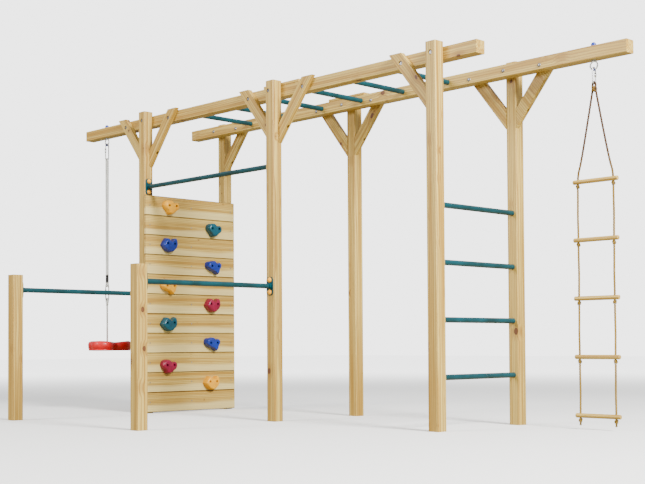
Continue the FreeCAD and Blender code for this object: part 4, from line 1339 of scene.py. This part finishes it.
@dataclass
class HoldSet:
    """The bolted climbing holds of one colour, from the top down."""

    node: str
    slot: str
    finish: bpy.types.Material
    shapes: tuple[HoldShape, ...]
    well: float = 0.0085
    well_depth: float = 0.024
    screw_pitch: float = 0.060
    screw_rise: float = 0.010
    draft: float = 0.985

    def build(self) -> None:
        """Moulds each hold in the place of its solid."""
        for number, (hold, box) in enumerate(zip(self.shapes, islands(self.node))):
            self.mould(f"{self.node}_{number + 1}", hold, *box)

    def mould(self, name: str, hold: HoldShape, low: Vector, high: Vector) -> None:
        """Moulds one hold: foot, flank, rounded brow and crowned front with two screw wells.

        Args:
            name: the name of the hold.
            hold: its outline.
            low: the lowest corner of its place.
            high: the highest corner of its place.
        """
        size, centre = high - low, (low + high) / 2
        shape = bmesh.new()
        breadth, height = size.y * self.draft, size.z * self.draft
        outline = [shape.verts.new((low.x, centre.y + across * breadth, centre.z + up * height))
                   for across, up in hold.value]
        face = shape.faces.new(outline)
        space = Matrix.Translation(-Vector((0, centre.y, centre.z)))
        for rise, scale in ((0.08, 1.0), (0.55, 0.98), (0.17, 0.955)):
            face = grow(shape, face, (size.x * rise, 0, 0), (1, scale, scale), space)
        uprights = [e for e in shape.edges if abs((e.verts[0].co - e.verts[1].co).x) > 1e-5]
        soften(shape, uprights, size.y * 0.022)
        front = max(shape.faces, key=lambda f: f.calc_center_median().x if len(f.verts) > 8 else -9.0)
        for rise, scale in ((0.1, 0.955), (0.065, 0.95), (0.035, 0.9)):
            front = grow(shape, front, (size.x * rise, 0, 0), (1, scale, scale), space)
        bmesh.ops.holes_fill(shape, edges=shape.edges, sides=0)
        bmesh.ops.recalc_face_normals(shape, faces=shape.faces)
        bmesh.ops.triangulate(shape, faces=[f for f in shape.faces if len(f.verts) > 4])
        piece = keep(shape, name, "frame", self.finish, [self.node])
        for side in (-1, 1):
            place = Vector((high.x, centre.y + side * self.screw_pitch / 2, centre.z + self.screw_rise))
            self.cut_well(piece, place)
        round_off(piece, 0.0012)

    def cut_well(self, piece: bpy.types.Object, place: Vector) -> None:
        """Cuts the well of one screw.

        Args:
            piece: the hold.
            place: the middle of the well's mouth.
        """
        cutter = bmesh.new()
        turned(cutter, place, (self.well * 0.92, self.well * 1.12), 2 * self.well_depth, 28, lying=True)
        cut_away(piece, cutter)


def islands(node: str) -> list[tuple[Vector, Vector]]:
    """The boxes of a node's separate solids, from the highest down.

    Args:
        node: the node.

    Returns:
        the lowest and highest corner of each.
    """
    shape = bmesh.new()
    shape.from_mesh(frame["nodes"][node].data)
    bmesh.ops.remove_doubles(shape, verts=shape.verts, dist=1e-6)
    left, boxes = set(shape.verts), []
    while left:
        front = [left.pop()]
        group = list(front)
        while front:
            near = {e.other_vert(v) for v in front for e in v.link_edges} & left
            left -= near
            front = list(near)
            group += front
        xs, ys, zs = ([v.co[i] for v in group] for i in range(3))
        boxes.append((Vector((min(xs), min(ys), min(zs))), Vector((max(xs), max(ys), max(zs)))))
    shape.free()
    return sorted(boxes, key=lambda box: -box[0].z)


def cut_away(piece: bpy.types.Object, cutter: bmesh.types.BMesh) -> None:
    """Cuts a shape out of a piece.

    Args:
        piece: the piece.
        cutter: the shape, which is used up.
    """
    mesh = bpy.data.meshes.new("cutter")
    cutter.to_mesh(mesh)
    cutter.free()
    tool = bpy.data.objects.new("cutter", mesh)
    bpy.context.scene.collection.objects.link(tool)
    cut = piece.modifiers.new("cut", "BOOLEAN")
    cut.operation, cut.object, cut.solver = "DIFFERENCE", tool, "EXACT"
    bpy.context.view_layer.update()
    result = bpy.data.meshes.new_from_object(piece.evaluated_get(bpy.context.evaluated_depsgraph_get()))
    piece.modifiers.remove(cut)
    old, piece.data = piece.data, result
    bpy.data.meshes.remove(old)
    bpy.data.objects.remove(tool)
    bpy.data.meshes.remove(mesh)


def round_off(piece: bpy.types.Object, width: float) -> None:
    """Rounds the sharp edges of a piece a little.

    Args:
        piece: the piece.
        width: how much is rounded.
    """
    edge = piece.modifiers.new("edges", "BEVEL")
    edge.width, edge.segments, edge.limit_method = width, 2, "ANGLE"
    edge.angle_limit = math.radians(40)
    edge.harden_normals = True


# ---- the timber and steel that the model already has -----------------------------------------------------------


@dataclass
class Woodwork:
    """Dresses each timber in pine whose grain runs along it, no two cut from the same place."""

    pine: Pine
    boards: Pine
    turned: Pine

    def build(self) -> None:
        """Dresses posts, beams, braces, boards and rope-ladder rungs."""
        seed = 0
        for part in frame["record"]["subparts"]:
            node, slot = part["node"], part["material_slot"]
            if not slot.startswith("pine") and slot != "turned_rung":
                continue
            seed += 1
            wood = self.turned if slot == "turned_rung" else self.boards if node == "wall_boards" else self.pine
            dress(node, wood.dress("pine_" + node, middle(node), self.grain(node, slot), seed))

    @staticmethod
    def grain(node: str, slot: str) -> Grain:
        """The way the grain runs in a node.

        Args:
            node: the node.
            slot: its material slot.

        Returns:
            the way of the grain.
        """
        if slot == "pine_beams" or slot == "turned_rung":
            return Grain.ALONG_BEAM
        if node == "wall_boards":
            return Grain.ACROSS
        if node.endswith("inner"):
            return Grain.LEAN_RIGHT if node.split("_")[2] != "right" else Grain.LEAN_LEFT
        if node.endswith("outer"):
            return Grain.LEAN_LEFT
        return Grain.UPRIGHT


def dress(node: str, material: bpy.types.Material) -> None:
    """Gives a node its finish.

    Args:
        node: the node.
        material: its finish.
    """
    thing = frame["nodes"][node]
    thing.data.materials.clear()
    thing.data.materials.append(material)
    log.info("%s dressed in %s", node, material.name)


def main() -> None:
    """Builds the scene in order."""
    Viewpoint().build()
    Studio().build()
    zinc, white, black = PLATED.dress("zinc_plate"), WHITE_ROPE.dress("white_yarn"), CLAMP_BLACK.dress("black_moulded")
    blue, green = BLUE.dress("blue_moulded"), GREEN.dress("teal_green_moulded")
    magenta = MAGENTA.dress("magenta_moulded")
    yellow, teal = YELLOW.dress("yellow_moulded"), TEAL.dress("teal_paint")
    DiscSwing(white, black, SEAT_RED.dress("seat_moulded"), zinc).build()
    RopeLadder(TAN_ROPE.dress("tan_yarn"), BROWN_ROPE.dress("brown_yarn"), zinc).build()
    heart, ears, tail = HoldShape.HEART, HoldShape.EARS, HoldShape.TAIL
    for holds in (HoldSet("holds_yellow", "yellow_plastic", yellow, (heart, tail, ears)),
                  HoldSet("holds_green", "green_plastic", green, (heart, ears)),
                  HoldSet("holds_blue", "blue_plastic", blue, (ears, tail, tail)),
                  HoldSet("holds_red", "red_plastic", magenta, (ears, heart))):
        holds.build()
    Woodwork(Pine(), Pine(board_pitch=0.1335, knot_size=0.009, knot_pitch=0.17), Pine(knot_size=0.003)).build()
    for node in ("overhead_rungs", "ladder_rungs", "high_bar", "low_bars", "bar_flanges"):
        dress(node, teal)
    dress("eye_bolts", zinc)
    # the frame bolts and wood screws get the darker plating, painted shade for their recesses
    dull_and_recess_shaded = RECESS_SHADED_PLATED.dress("recess_shaded_zinc_plate")
    for node in ("frame_bolts", "wood_screws"):
        dress(node, dull_and_recess_shaded)
    dress("bar_caps", yellow)
    dress("eye_caps", blue)
    for node in ("holds_yellow", "holds_green", "holds_blue", "holds_red", "swing_carabiner", "ladder_carabiner",
                 "swing_hook", "swing_seat", "swing_sleeve"):
        dress(node, zinc if "carab" in node or "hook" in node else yellow)


if __name__ == "__main__":
    main()
